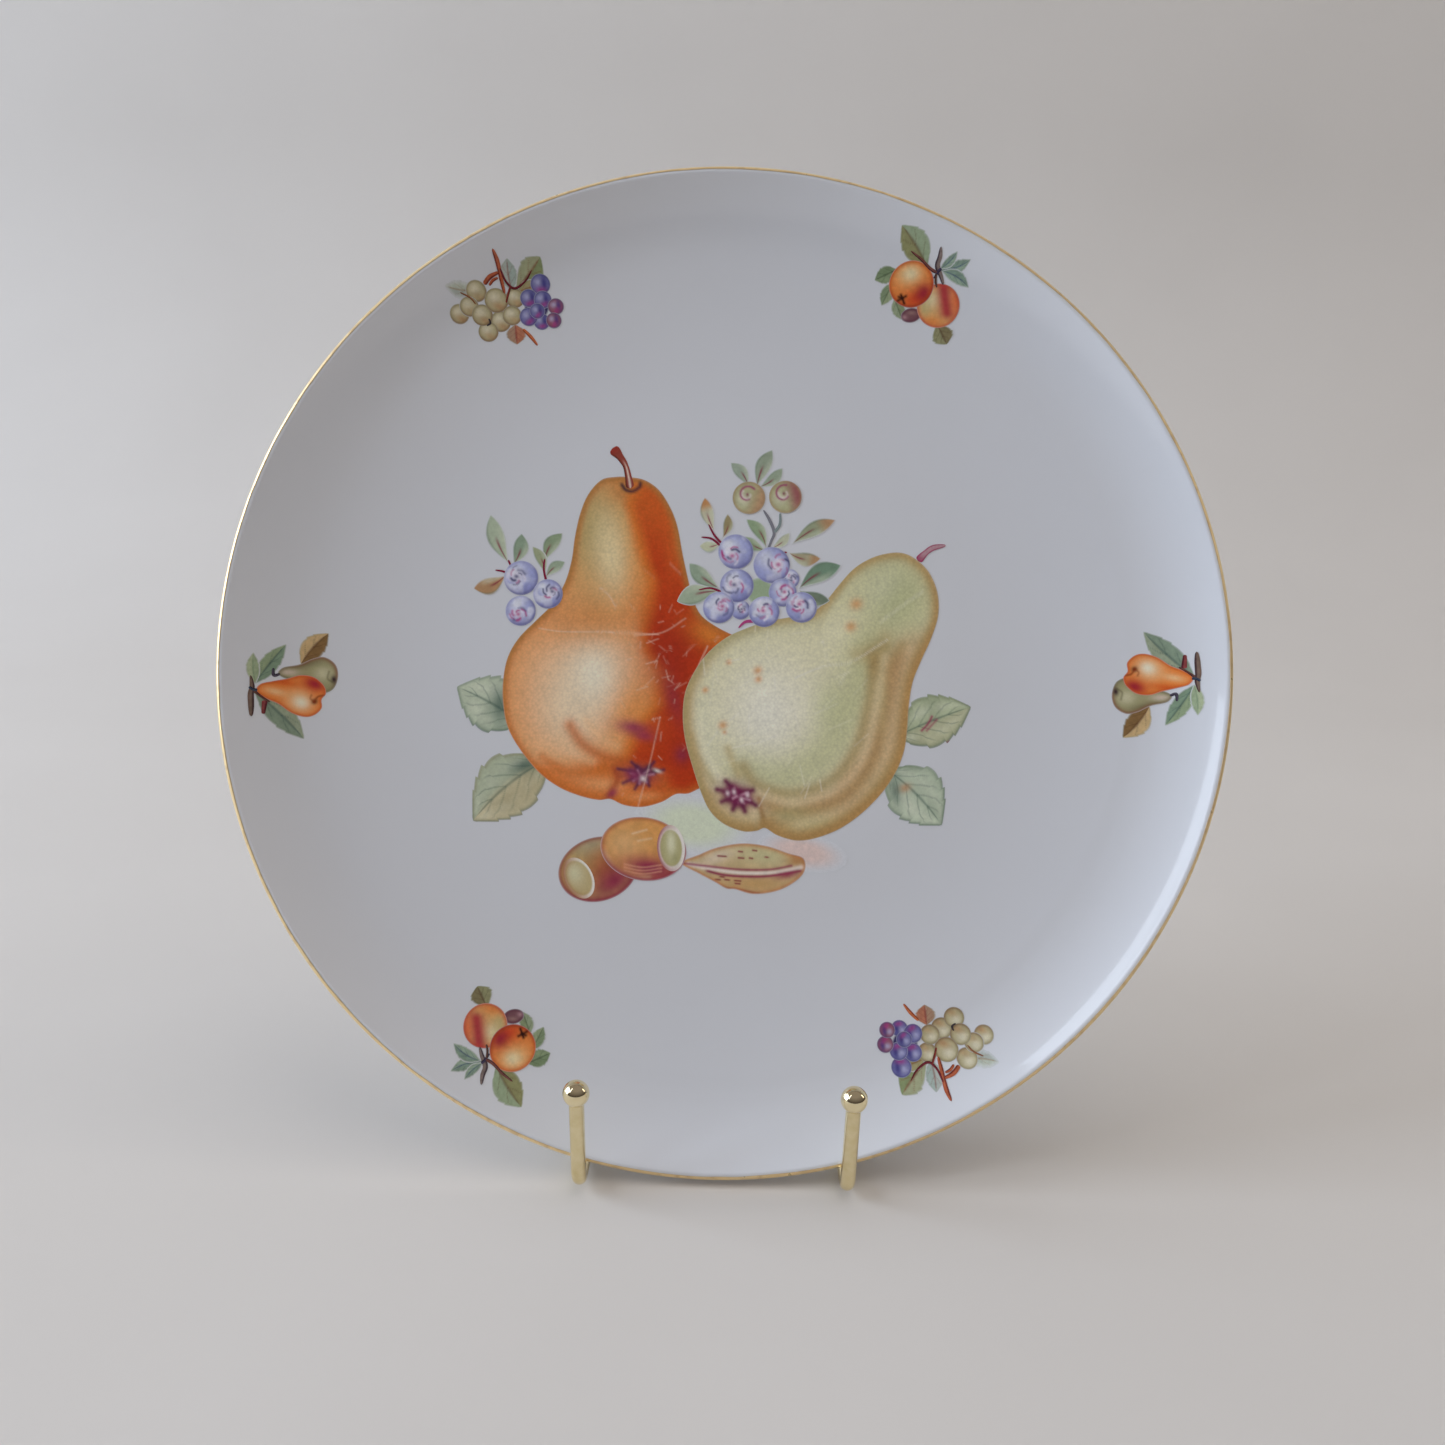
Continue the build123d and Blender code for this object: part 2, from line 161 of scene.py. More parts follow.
def new_piece(name, points, faces, finish):
    """An object at the origin with its place in its mesh, smooth all over."""
    mesh = bpy.data.meshes.new(name)
    mesh.from_pydata(points, [], faces, shade_flat=False)
    mesh.materials.append(finish.material)
    made = bpy.data.objects.new(name, mesh)
    bpy.context.scene.collection.objects.link(made)
    return made


cloth = Finish("pale_table", Roughness=0.9)
cloth.feed(Base_Color=cloth.mix(cloth.noise(6.0), (0.66, 0.625, 0.585, 1), (0.72, 0.685, 0.645, 1)))
TABLE_REACH = 3.0           # metres: the table's front and sides, and how high the sweep goes
TABLE_BACK = 0.45           # where the sweep begins behind the plate
SWEEP = 0.35
turn = np.linspace(0, pi / 2, 24)
table_y = np.concatenate([[-TABLE_REACH], TABLE_BACK + SWEEP * np.sin(turn), [TABLE_BACK + SWEEP]])
table_z = np.concatenate([[0.0], SWEEP * (1 - np.cos(turn)), [TABLE_REACH]])
count = len(table_y)
table_points = np.stack([np.repeat([-TABLE_REACH, TABLE_REACH], count), np.tile(table_y, 2),
                         np.tile(table_z, 2)], 1)
step = np.arange(count - 1)
table_faces = np.stack([step, step + count, step + count + 1, step + 1], 1)
new_piece("table", table_points.tolist(), table_faces.tolist(), cloth)

LOW_DOWN = (0.14, 0.12, 0.115, 1)
HIGH_UP = (0.54, 0.49, 0.49, 1)
ROOM_STRENGTH = 0.47
room = bpy.data.worlds.new("room")
room.use_nodes = True
walls = room.node_tree
direction = walls.nodes.new("ShaderNodeTexCoord")
height = walls.nodes.new("ShaderNodeSeparateXYZ")
shade = walls.nodes.new("ShaderNodeValToRGB")
for stop, position, colour in zip(shade.color_ramp.elements, (0.05, 0.75), (LOW_DOWN, HIGH_UP)):
    stop.position = position
    stop.color = colour
walls.links.new(direction.outputs["Generated"], height.inputs[0])
walls.links.new(height.outputs["Z"], shade.inputs[0])
walls.links.new(shade.outputs[0], walls.nodes["Background"].inputs["Color"])
walls.nodes["Background"].inputs["Strength"].default_value = ROOM_STRENGTH
bpy.context.scene.world = room


def soft_light(name, towards, distance, width, height, colour, power, mirrored=True):
    """A rectangular light that faces the plate from the direction towards; gloss shows it if mirrored."""
    light = bpy.data.lights.new(name, "AREA")
    light.shape = "RECTANGLE"
    light.size = width
    light.size_y = height
    light.color = colour
    light.energy = power
    back = np.array(towards) / np.linalg.norm(towards)
    side = np.cross((0, 0, 1), back)
    side = side / np.linalg.norm(side)
    lamp = bpy.data.objects.new(name, light)
    axes = zip(side, np.cross(back, side), back)
    spot = lip_centre + distance * back
    lamp.matrix_world = Matrix([[*row, place] for row, place in zip(axes, spot)] + [[0, 0, 0, 1]])
    lamp.visible_glossy = mirrored
    bpy.context.scene.collection.objects.link(lamp)


soft_light("window", (-0.66, -0.44, 0.62), 1.5, 0.16, 1.0, (0.78, 0.88, 1.0), 1.6)
soft_light("window_wall", (-1.0, -0.05, 0.35), 2.6, 1.6, 1.6, (0.73, 0.84, 1.0), 62)
soft_light("ceiling", (0.3, -0.12, 1.0), 1.6, 1.8, 1.8, (1.0, 0.975, 0.93), 9.4, mirrored=False)
soft_light("far_lamp", (1.0, 0.0, 0.45), 1.8, 0.3, 0.8, (1.0, 0.93, 0.84), 1.6)


# ---- Porcelain body
# The plate itself: hard white porcelain, jiggered over a mould so that faint rings follow the
# knuckle, glazed all over and wiped bare under the foot ring, where it shows as biscuit.
GLAZE = np.array([0.79, 0.805, 0.84])
BISCUIT = (0.72, 0.69, 0.64, 1)
PLATE_RADIUS = 140.0
LIP = 1.3                  # radius of the full-round lip
WELL_RADIUS = 72.0
WELL_HEIGHT = 9.6
KNUCKLE_ANGLE = radians(8.8)
RIM_ANGLE = radians(38.7)
RIM_WIDTH = 20.7
WALL = 2.6
FOOT_INNER = 76.0
FOOT_OUTER = 80.0
UNDERSIDE = 5.6
rim_end = PLATE_RADIUS - LIP * (1 + sin(RIM_ANGLE))
knuckle = rim_end - RIM_WIDTH
dish_arc = (knuckle - WELL_RADIUS) / sin(KNUCKLE_ANGLE)
rim_arc = RIM_WIDTH / (sin(RIM_ANGLE) - sin(KNUCKLE_ANGLE))
dish_top = WELL_HEIGHT + dish_arc
rim_middle = knuckle - rim_arc * sin(KNUCKLE_ANGLE)
rim_top = dish_top - dish_arc * cos(KNUCKLE_ANGLE) + rim_arc * cos(KNUCKLE_ANGLE)
lip_radius = PLATE_RADIUS - LIP
lip_height = rim_top - (rim_arc + LIP) * cos(RIM_ANGLE)
foot_centre = lip_centre - lip_height / 1000 * OUT


def on_plate(a, b, height):
    """Metres in the room, from millimetres on the plate: a right, b up, height above the foot's plane."""
    a, b, height = (np.ravel(value)[:, None] / 1000 for value in (a, b, height))
    return foot_centre + a * RIGHT + b * UP + height * OUT


def face_height(radius):
    """Height of the painted face: flat well, then one arc for the dish and one for the rim,
    with the jigger's two soft rings raised beside the knuckle by a few hundredths."""
    dish = dish_top - np.sqrt(np.maximum(dish_arc ** 2 - np.clip(radius - WELL_RADIUS, 0, None) ** 2, 0))
    rim = rim_top - np.sqrt(np.maximum(rim_arc ** 2 - (radius - rim_middle) ** 2, 0))
    rings = 0.03 * np.exp(-((radius - 113.5) / 1.2) ** 2) + 0.03 * np.exp(-((radius - 120) / 1.2) ** 2)
    return np.where(radius < knuckle, dish, rim) + rings


def arc(radius, height, reach, start, end, count):
    """Points of a circle's arc in the plate's section, from one angle to another, in degrees."""
    angle = np.radians(np.linspace(start, end, count))
    return np.stack([radius + reach * np.cos(angle), height + reach * np.sin(angle)], 1)


face_radius = np.concatenate([np.linspace(1.5, WELL_RADIUS, 40), np.linspace(73, rim_end, 90)])
face = np.stack([face_radius, face_height(face_radius)], 1)
back_start = np.degrees(RIM_ANGLE) - 90
back_end = np.degrees(KNUCKLE_ANGLE) - 90
foot_turn = np.degrees(np.arcsin((FOOT_OUTER + 2 - WELL_RADIUS) / (dish_arc + WALL))) - 90
section = np.concatenate([
    face,
    arc(lip_radius, lip_height, LIP, back_start + 180, back_start, 18)[1:],
    arc(rim_middle, rim_top, rim_arc + WALL, back_start, back_end, 18)[1:],
    arc(WELL_RADIUS, dish_top, dish_arc + WALL, back_end, foot_turn, 18)[1:],
    arc(FOOT_OUTER + 2, dish_top - dish_arc - WALL - 1.85, 2, 90, 180, 8)[1:],
    arc(FOOT_OUTER - 1.2, 1.2, 1.2, 0, -90, 8),
    arc(FOOT_INNER + 1.2, 1.2, 1.2, -90, -180, 8),
    arc(FOOT_INNER - 2, UNDERSIDE - 2, 2, 0, 90, 8),
    np.stack([np.linspace(72, 1.5, 24), np.full(24, UNDERSIDE)], 1),
])
SEGMENTS = 400
rows = len(section)
around = np.linspace(0, 2 * pi, SEGMENTS, endpoint=False)
ring_radius = np.repeat(section[:, 0], SEGMENTS)
ring_height = np.repeat(section[:, 1], SEGMENTS)
ring_angle = np.tile(around, rows)
points = on_plate(ring_radius * np.cos(ring_angle), ring_radius * np.sin(ring_angle), ring_height)
poles = on_plate([0, 0], [0, 0], [WELL_HEIGHT, UNDERSIDE])
row, column = np.meshgrid(np.arange(rows - 1), np.arange(SEGMENTS), indexing="ij")
beside = (column + 1) % SEGMENTS
near = row * SEGMENTS
far = near + SEGMENTS
sides = np.stack([near + column, far + column, far + beside, near + beside], 2).reshape(-1, 4)
column = np.arange(SEGMENTS)
beside = (column + 1) % SEGMENTS
last = (rows - 1) * SEGMENTS
top_fan = np.stack([np.full(SEGMENTS, rows * SEGMENTS), column, beside], 1)
under_fan = np.stack([np.full(SEGMENTS, rows * SEGMENTS + 1), last + beside, last + column], 1)

glaze = Finish("glazed_porcelain", IOR=1.5, Coat_Weight=0.6, Coat_Roughness=0.03, Coat_IOR=1.5)
bare = glaze.node("Attribute", {"attribute_name": "bare"}, {}, 2)
cloud = glaze.noise(18.0) * 0.03 + 0.985
white = glaze.shaded((*GLAZE, 1), cloud)
glaze.feed(
    Base_Color=glaze.mix(bare, white, BISCUIT),
    Roughness=bare * 0.5 + glaze.noise(60.0) * 0.08 + 0.10,
    Normal=glaze.bump(glaze.noise(140.0, 1.0), 0.00003),
)
faces = sides.tolist() + top_fan.tolist() + under_fan.tolist()
porcelain = new_piece("porcelain", np.vstack([points, poles]), faces, glaze)
foot_wiped = np.clip((0.9 - ring_height) / 0.3, 0, 1) * (ring_radius < FOOT_OUTER + 1)
attribute = porcelain.data.attributes.new("bare", "FLOAT", "POINT")
attribute.data.foreach_set("value", np.append(foot_wiped, [0, 0]).astype(np.float32))
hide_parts("porcelain_body")
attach(porcelain, "plate")


# ---- Gilt line
# Burnished gold, banded round the lip with a brush while the plate turned on a wheel: its
# edges wander a little, and handling has rubbed it thin at the crest in places.
GILT_IN = 1.32             # radii round the lip's middle
GILT_OUT = 1.40
BAND = 13


def grain(a, b, size, seed):
    """Smooth noise from 0 to 1: a random number at each corner of a square mesh of that size,
    eased between the corners."""
    a, b = np.asarray(a) / size + 40.7 * seed, np.asarray(b) / size + 17.3 * seed
    i, j = np.floor(a), np.floor(b)

    def corner(m, n):
        return np.mod(np.sin(m * 127.1 + n * 311.7) * 43758.5453, 1)

    u, v = a - i, b - j
    u, v = u * u * (3 - 2 * u), v * v * (3 - 2 * v)
    lower = corner(i, j) * (1 - u) + corner(i + 1, j) * u
    upper = corner(i, j + 1) * (1 - u) + corner(i + 1, j + 1) * u
    return lower * (1 - v) + upper * v


TURNS = 900
around = np.linspace(0, 2 * pi, TURNS, endpoint=False)
lip_a = 140 * np.cos(around)
lip_b = 140 * np.sin(around)
wander = grain(lip_a, lip_b, 5, 1) + grain(lip_a, lip_b, 24, 2)
start = -24 - 5 * wander
end = 72 + 8 * wander
across = np.concatenate([np.linspace(0, 1, BAND), np.linspace(1, 0, BAND)])
reach = np.repeat([GILT_OUT, GILT_IN], BAND)
angle = np.radians(start[:, None] + (end - start)[:, None] * across)
band_radius = lip_radius + reach * np.cos(angle)
band_height = lip_height + reach * np.sin(angle)
band_a = band_radius * np.cos(around)[:, None]
band_b = band_radius * np.sin(around)[:, None]
row, column = np.meshgrid(np.arange(TURNS), np.arange(2 * BAND), indexing="ij")
ahead = (row + 1) % TURNS * 2 * BAND
beside = (column + 1) % (2 * BAND)
here = row * 2 * BAND
band_faces = np.stack([here + column, ahead + column, ahead + beside, here + beside], 2).reshape(-1, 4)
gold = Finish("gilding", IOR=1.5)
rubbed = gold.node("Attribute", {"attribute_name": "rubbed"}, {}, 2)
tone = gold.mix(gold.noise(55.0), (0.92, 0.66, 0.32, 1), (1.0, 0.80, 0.46, 1))
gold.feed(
    Base_Color=gold.mix(rubbed, tone, (0.62, 0.42, 0.22, 1)),
    Metallic=0.5 - rubbed * 0.3,
    Roughness=gold.noise(350.0) * 0.20 + 0.22,
)
gilt = new_piece("gilt_band", on_plate(band_a, band_b, band_height), band_faces.tolist(), gold)
thin = np.clip(grain(band_a, band_b, 1.6, 3) * 1.6 - 0.95, 0, 1) * (across > 0.55) + (across > 0.93) * 0.5
attribute = gilt.data.attributes.new("rubbed", "FLOAT", "POINT")
attribute.data.foreach_set("value", np.clip(thin, 0, 1).ravel().astype(np.float32))
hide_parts("gilt_line")
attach(gilt, "plate")


# ---- Amber pear
# The left fruit of the centre print. Each fruit is a film of ceramic colours, laid on the glaze
# as stippled washes one over another and fired until it sinks in and shines with the glaze.
# The painted colours are in hundredths of red, green and blue, down to the border sprays.
CREAM = (95, 90, 76)
ORANGE = (88, 40, 13)
PEACH = (93, 71, 50)
BRICK = (52, 7, 3.5)
PLUM = (34, 7, 17)
INK = (10, 6, 9)
FILM_UNDER = 0.02          # a film's underside, above the glaze
FIRED_DEPTH = 1.35         # how far firing deepens each colour away from the bare glaze


def ease(value):
    """0 below 0, 1 above 1, and a smooth step between."""
    value = np.clip(value, 0, 1)
    return value * value * (3 - 2 * value)


def curve(points, closed=False, count=16):
    """A smooth line through the points: between each pair a cubic, whose slope at each point is
    half the step between that point's neighbours."""
    p = np.array(points, float)
    p = np.vstack([p[-1:], p, p[:2]]) if closed else np.vstack([2 * p[0] - p[1], p, 2 * p[-1] - p[-2]])
    t = np.linspace(0, 1, count, endpoint=False)[:, None, None]
    p0, p1, p2, p3 = p[:-3], p[1:-2], p[2:-1], p[3:]
    square = (p0 - 2.5 * p1 + 2 * p2 - p3 / 2) * t ** 2
    cube = (1.5 * (p1 - p2) + (p3 - p0) / 2) * t ** 3
    bent = p1 + (p2 - p0) * t / 2 + square + cube
    bent = bent.transpose(1, 0, 2).reshape(-1, 2)
    return bent if closed else np.vstack([bent, p[-2:-1]])


class Film:
    """One area of fired colour: a grid of places on the plate in millimetres, each place's depth in
    from the painted edge, its share of the way along and across, and its colour."""

    def __init__(self, a, b, depth, along, across, colour):
        self.a, self.b, self.depth, self.along, self.across = a, b, depth, along, across
        self.colour = np.ones(a.shape + (3,)) * colour

    def wash(self, colour, cover):
        """The colour laid over what is there, by the cover from 0 to 1."""
        self.colour += (np.array(colour) - self.colour) * np.clip(cover, 0, 1)[..., None]
        return self

    def spot(self, colour, x, y, wide, high, turn=0, strength=1.0):
        """A soft oval of colour: the bell curve of the distance from its middle."""
        c, s = cos(radians(turn)), sin(radians(turn))
        p, q = self.a - x, self.b - y
        reach = ((p * c + q * s) / wide) ** 2 + ((q * c - p * s) / high) ** 2
        return self.wash(colour, strength * np.exp(-reach))

    def line(self, colour, width, *points, strength=1.0):
        """A soft brush line: the bell curve of the distance from a smooth line through the points."""
        way = curve(points, count=5)
        near = np.full(self.a.shape, 1e9)
        for (x0, y0), (x1, y1) in zip(way, way[1:]):
            p, q = x1 - x0, y1 - y0
            t = np.clip(((self.a - x0) * p + (self.b - y0) * q) / (p * p + q * q + 1e-9), 0, 1)
            near = np.minimum(near, np.hypot(self.a - x0 - t * p, self.b - y0 - t * q))
        return self.wash(colour, strength * np.exp(-(near / width) ** 2))

    def spots(self, *rows):
        """Soft ovals one after another, each row a spot's own values."""
        for row in rows:
            self.spot(*row)

    def lines(self, *rows):
        """Brush lines one after another, each row a strength and then a line's own values."""
        for strength, *row in rows:
            self.line(*row, strength=strength)

    def edge(self, colour, width, strength=1.0, side=None):
        """Colour along the painted edge, and only towards one side, given in degrees, if there is one."""
        cover = strength * np.exp(-(self.depth / width) ** 2)
        if side is not None:
            bearing = np.arctan2(self.b - self.b.mean(), self.a - self.a.mean())
            cover = cover * ease(0.5 + 0.9 * np.cos(bearing - radians(side)))
        return self.wash(colour, cover)

    def mottle(self, size, amount, seed=1):
        """Uneven laying of the colour: darker and lighter by grain of that size."""
        self.colour *= 1 + amount * (grain(self.a, self.b, size, seed) - 0.5)[..., None]
        return self

    def fade(self, width, strength=1.0):
        """The colour thins out to bare glaze at the edge."""
        return self.wash(100 * GLAZE, strength * (1 - ease(self.depth / width)))

    def moved(self, x, y, turn):
        """The same film laid elsewhere, turned by that many degrees."""
        c, s = cos(radians(turn)), sin(radians(turn))
        place = x + self.a * c - self.b * s, y + self.a * s + self.b * c
        return Film(*place, self.depth, self.along, self.across, self.colour)


def round_grid(count):
    """A square mesh eased into the unit disc, each square ring of it becoming a round one."""
    p, q = np.meshgrid(np.linspace(-1, 1, count), np.linspace(-1, 1, count), indexing="ij")
    wide = np.abs(p) >= np.abs(q)
    ring = np.where(wide, p, q)
    angle = np.where(wide, q / np.where(wide, p, 1), pi / 2 * 4 / pi - p / np.where(wide, 1, q)) * pi / 4
    return ring * np.cos(angle), ring * np.sin(angle)


def outlined(points, centre, count, colour):
    """A film inside a smooth closed line: the unit disc stretched along each bearing from the
    centre to the line."""
    x, y = round_grid(count)
    line = curve(points, True) - np.array(centre)
    bearing, reach = np.arctan2(line[:, 1], line[:, 0]), np.hypot(line[:, 0], line[:, 1])
    angle, share = np.arctan2(y, x), np.hypot(x, y)
    out = np.interp(angle, bearing, reach, period=2 * pi)
    slope = (np.interp(angle + 0.01, bearing, reach, period=2 * pi) - out) / 0.01
    depth = (1 - share) * out * out / np.hypot(out, slope)
    return Film(centre[0] + x * out, centre[1] + y * out, depth, share, angle, colour)


def oval(x, y, wide, high, colour, turn=0, count=20):
    """A film with an oval edge; wide and high are its half sizes before it is turned."""
    p, q = round_grid(count)
    c, s = cos(radians(turn)), sin(radians(turn))
    share = np.hypot(p, q)
    a, b = p * wide, q * high
    place = x + a * c - b * s, y + a * s + b * c
    return Film(*place, (1 - share) * min(wide, high), share, np.arctan2(q, p), colour)


def stem(points, widths, colour, count=(40, 6)):
    """A film along a smooth line, round-ended; the widths are spaced evenly along it."""
    line = curve(points)
    length = np.append(0, np.cumsum(np.hypot(*np.diff(line, axis=0).T)))
    s = np.linspace(0, 1, count[0])
    x, y = (np.interp(s * length[-1], length, line[:, k]) for k in (0, 1))
    p, q = np.gradient(x), np.gradient(y)
    size = np.hypot(p, q)
    half = np.interp(s, np.linspace(0, 1, len(widths)), widths) / 2
    half = half * np.sqrt(np.clip(1 - (2 * s - 1) ** 12, 0.02, 1))
    u = np.linspace(-1, 1, count[1])
    a = x[:, None] - (q / size * half)[:, None] * u
    b = y[:, None] + (p / size * half)[:, None] * u
    return Film(a, b, half[:, None] * (1 - abs(u)), s[:, None] + 0 * u, 0 * s[:, None] + u, colour)


def fired(name, films, finish, slot, lowest, highest, *nodes):
    """One piece from its films: each is a closed skin on the glaze, its top grid, the same grid for
    its underside, and walls round the edge. Later films lie a little higher, from lowest to highest."""
    places, faces, colours, borders = [], [], [], []
    offset = 0
    for film, rise in zip(films, np.linspace(lowest, highest, len(films))):
        a, b, colour = film.a, film.b, film.colour
        number = np.arange(a.size).reshape(a.shape)
        rim = np.concatenate([number[0, :-1], number[:-1, -1], number[-1, :0:-1], number[:0:-1, 0]])
        x, y = a.ravel()[rim], b.ravel()[rim]
        if np.sum(x * np.roll(y, -1) - y * np.roll(x, -1)) < 0:
            rim = rim[::-1]
            number = number[::-1]
        corners = [number[:-1, :-1], number[:-1, 1:], number[1:, 1:], number[1:, :-1]]
        quads = np.stack(corners, 2).reshape(-1, 4)
        ahead = np.roll(rim, -1)
        walls = np.stack([rim, rim + a.size, ahead + a.size, ahead], 1)
        height = face_height(np.hypot(a, b))
        places += [on_plate(a, b, height + rise), on_plate(a, b, height + FILM_UNDER)]
        faces += [quads + offset, quads[:, ::-1] + a.size + offset, walls + offset]
        colours += [GLAZE * (colour.reshape(-1, 3) / 100 / GLAZE) ** FIRED_DEPTH] * 2
        flag = np.zeros(2 * a.size, bool)
        flag[rim], flag[rim + a.size] = True, True
        borders.append(flag)
        offset += 2 * a.size
    made = new_piece(name, np.vstack(places), np.vstack(faces).tolist(), finish)
    paint = made.data.attributes.new("paint", "FLOAT_COLOR", "POINT")
    paint.data.foreach_set("color", np.insert(np.vstack(colours), 3, 1, axis=1).astype(np.float32).ravel())
    ends = np.zeros(2 * len(made.data.edges), np.int32)
    made.data.edges.foreach_get("vertices", ends)
    crease = np.concatenate(borders)[ends.reshape(-1, 2)].all(1)
    made.data.attributes.new("sharp_edge", "BOOLEAN", "EDGE").data.foreach_set("value", crease)
    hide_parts(*nodes)
    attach(made, "plate")


def enamel(name, dot, dot_depth, shine):
    """The fired colour's finish: the painted colour, broken by a stipple of fine dots of that size in
    millimetres and by clouding, under almost the glaze's own shine."""
    finish = Finish(name, IOR=1.4, Coat_Weight=0.15, Coat_Roughness=0.04, Coat_IOR=1.5)
    painted = finish.node("Attribute", {"attribute_name": "paint"}, {}, 0)
    dots = finish.node("TexVoronoi", {}, {"Vector": finish.place(), "Scale": 1000 / dot}, 0)
    light = 1.0 + dot_depth * 0.5 - dots * dot_depth + finish.noise(900.0) * dot_depth - dot_depth * 0.5
    finish.feed(
        Base_Color=finish.shaded(painted, light),
        Roughness=finish.noise(70.0) * 0.10 + shine,
        Normal=finish.bump(finish.noise(140.0, 1.0), 0.00003),
    )
    return finish


amber_outline = [
    (-36.5, 53), (-40, 49), (-42.2, 43.5), (-43.6, 36.5), (-44.4, 29.5), (-46.2, 23), (-49.5, 17),
    (-54, 12.2),
    (-58.8, 7), (-61.7, 1.5), (-62.8, -5), (-62.6, -11.5), (-61.2, -18), (-57.8, -24), (-52, -30.8),
    (-46, -35),
    (-40, -37.3), (-34.8, -38.3), (-31.5, -38), (-27.5, -39.6), (-22.4, -40), (-17, -38.5), (-13, -36.2),
    (-8.5, -35.5),
    (-2, -30), (0, -16), (1, -2), (4.5, 8.6), (1.5, 9.6), (-3.3, 12), (-7.2, 15), (-9.5, 19.5), (-11, 25),
    (-12.7, 32), (-14.4, 40),
    (-16.6, 45.5), (-20, 50.5), (-24, 53.2), (-28.3, 54), (-32.4, 54),
]
pear = outlined(amber_outline, (-33, 0), 214, ORANGE)
pear.spots(
    (PEACH, -45, -8, 18, 26, 0, 0.75), (PEACH, -33, 2, 14, 12, 0, 0.5), (CREAM, -37.5, -3, 7.5, 11, 0, 0.95),
    ((94, 84, 66), -44, -13, 9, 14, 0, 0.65), ((80, 33, 9), -36, 14, 16, 7, 10, 0.7),
    ((67, 57, 32), -37, 38, 10, 19, 0, 0.95), ((90, 78, 52), -33, 31, 4.8, 12, 8, 0.9),
    ((58, 47, 24), -42.5, 42, 4, 12, -8, 0.7), ((66, 30, 10), -28.5, 50, 7, 4, 0, 0.6),
)
shade_heights = [-40, -28, -22, -18, -11, -2, 4, 10, 24, 32, 46, 54]
shade_edge = [-27, -29, -27, -26, -20, -18, -23, -24, -22, -25, -29, -27]
shade_line = np.interp(pear.b, shade_heights, shade_edge)
inside = (pear.a - shade_line) / (3.6 + 1.8 * grain(pear.a, pear.b, 9, 4))
pear.wash((80, 27, 6), 0.85 * ease(inside + 0.6))
pear.wash((66, 10, 2.5), 0.92 * ease(inside - 0.05) * (1 - 0.55 * ease((pear.b - 26) / 22)))
pear.spots(
    (BRICK, -15, 2, 8, 14, 15, 0.75), (BRICK, -10, -24, 8, 9, 0, 0.5),
    ((86, 40, 10), -4, 9.5, 7, 4, -25, 0.75), ((84, 36, 10), -13.5, 38, 3.5, 12, -8, 0.4),
    ((84, 38, 11), -25, -14, 6, 7, 0, 0.5), (PLUM, -14.5, -9, 2.6, 8, 20, 0.4),
    ((42, 8, 20), -25.5, -17.6, 4.4, 1.9, -8, 0.8),
    ((42, 8, 20), -22.5, -20, 3.2, 1.4, -8, 0.6), (PLUM, -11.5, -25, 2.2, 2.4, 0, 0.6),
)
under_lobe = ease((-24.5 - pear.b - 0.12 * (pear.a + 36) ** 2 * 0.05) / 5)
pear.wash((80, 27, 6), 0.8 * under_lobe * ease((-12 - pear.a) / 8))
pear.spots(
    ((95, 62, 36), -46, -27, 9, 3.2, -32, 0.55), ((95, 58, 32), -33, -34, 7, 2.2, -4, 0.6),
    ((93, 52, 26), -22, -37.2, 6, 1.6, 4, 0.6),
)
pear.lines(
    (0.62, (66, 20, 5), 1.9, (-43.5, -17.5), (-40, -22.4), (-35, -25.6), (-28.5, -27.4)),
    (0.4, (96, 70, 46), 1.5, (-46, -21), (-42, -25.4), (-37, -27.6)),
    (0.35, (96, 66, 40), 1.1, (-39, -15.8), (-35, -20.4), (-30, -23)),
    (0.5, (70, 24, 6), 1.5, (-51, -26.5), (-44.6, -30.2), (-38, -30.6), (-33, -29)),
    (0.65, (55, 14, 5), 1.1, (-30.4, -29.5), (-29.6, -32.5), (-31, -35), (-32.2, -38)),
    (0.5, (74, 26, 7), 1.3, (-19, -31), (-16, -34), (-14.4, -37.5)),
)
pear.edge((72, 27, 8), 1.6, 0.75)
pear.edge((50, 34, 14), 1.4, 0.55, side=110)
pear.line(INK, 0.55, (-30.6, 51.8), (-29.4, 50.3), (-27.4, 50), (-25.6, 51.2), (-25.3, 52.3), strength=0.9)
pear.spot(PLUM, -23.4, -31, 5.2, 2.9, -8, strength=0.75)
for tip_x, tip_y in ((-29.6, -29.4), (-28, -33.4), (-24.6, -35), (-20.6, -34), (-16.6, -29.4),
                     (-19.4, -27.2), (-25.8, -27.4)):
    middle = ((tip_x - 23.2) / 2 + 0.5, (tip_y - 30.6) / 2)
    pear.lines(
        (0.9, (20, 7, 14), 1.0, (-23.2, -30.6), middle),
        (0.85, (20, 7, 14), 0.5, middle, (tip_x, tip_y)),
        (0.6, (72, 44, 56), 0.35, (-23.2, -31.2), (middle[0], middle[1] - 0.7)),
    )
pear.spots(
    ((46, 10, 22), -24.8, -31.2, 2.8, 1.7, -15, 0.7),
    ((90, 80, 80), -22.4, -32, 0.9, 0.8, 0, 0.95),
    ((86, 82, 76), -18.4, -29.7, 1.3, 0.5, -20, 0.9),
    ((40, 6, 20), -31, -36.4, 1.8, 1.1, 40, 0.7),
)
pear.mottle(1.1, 0.05, 5).mottle(4.5, 0.05, 6)
knife = np.random.default_rng(11)
pale = (93, 78, 66)
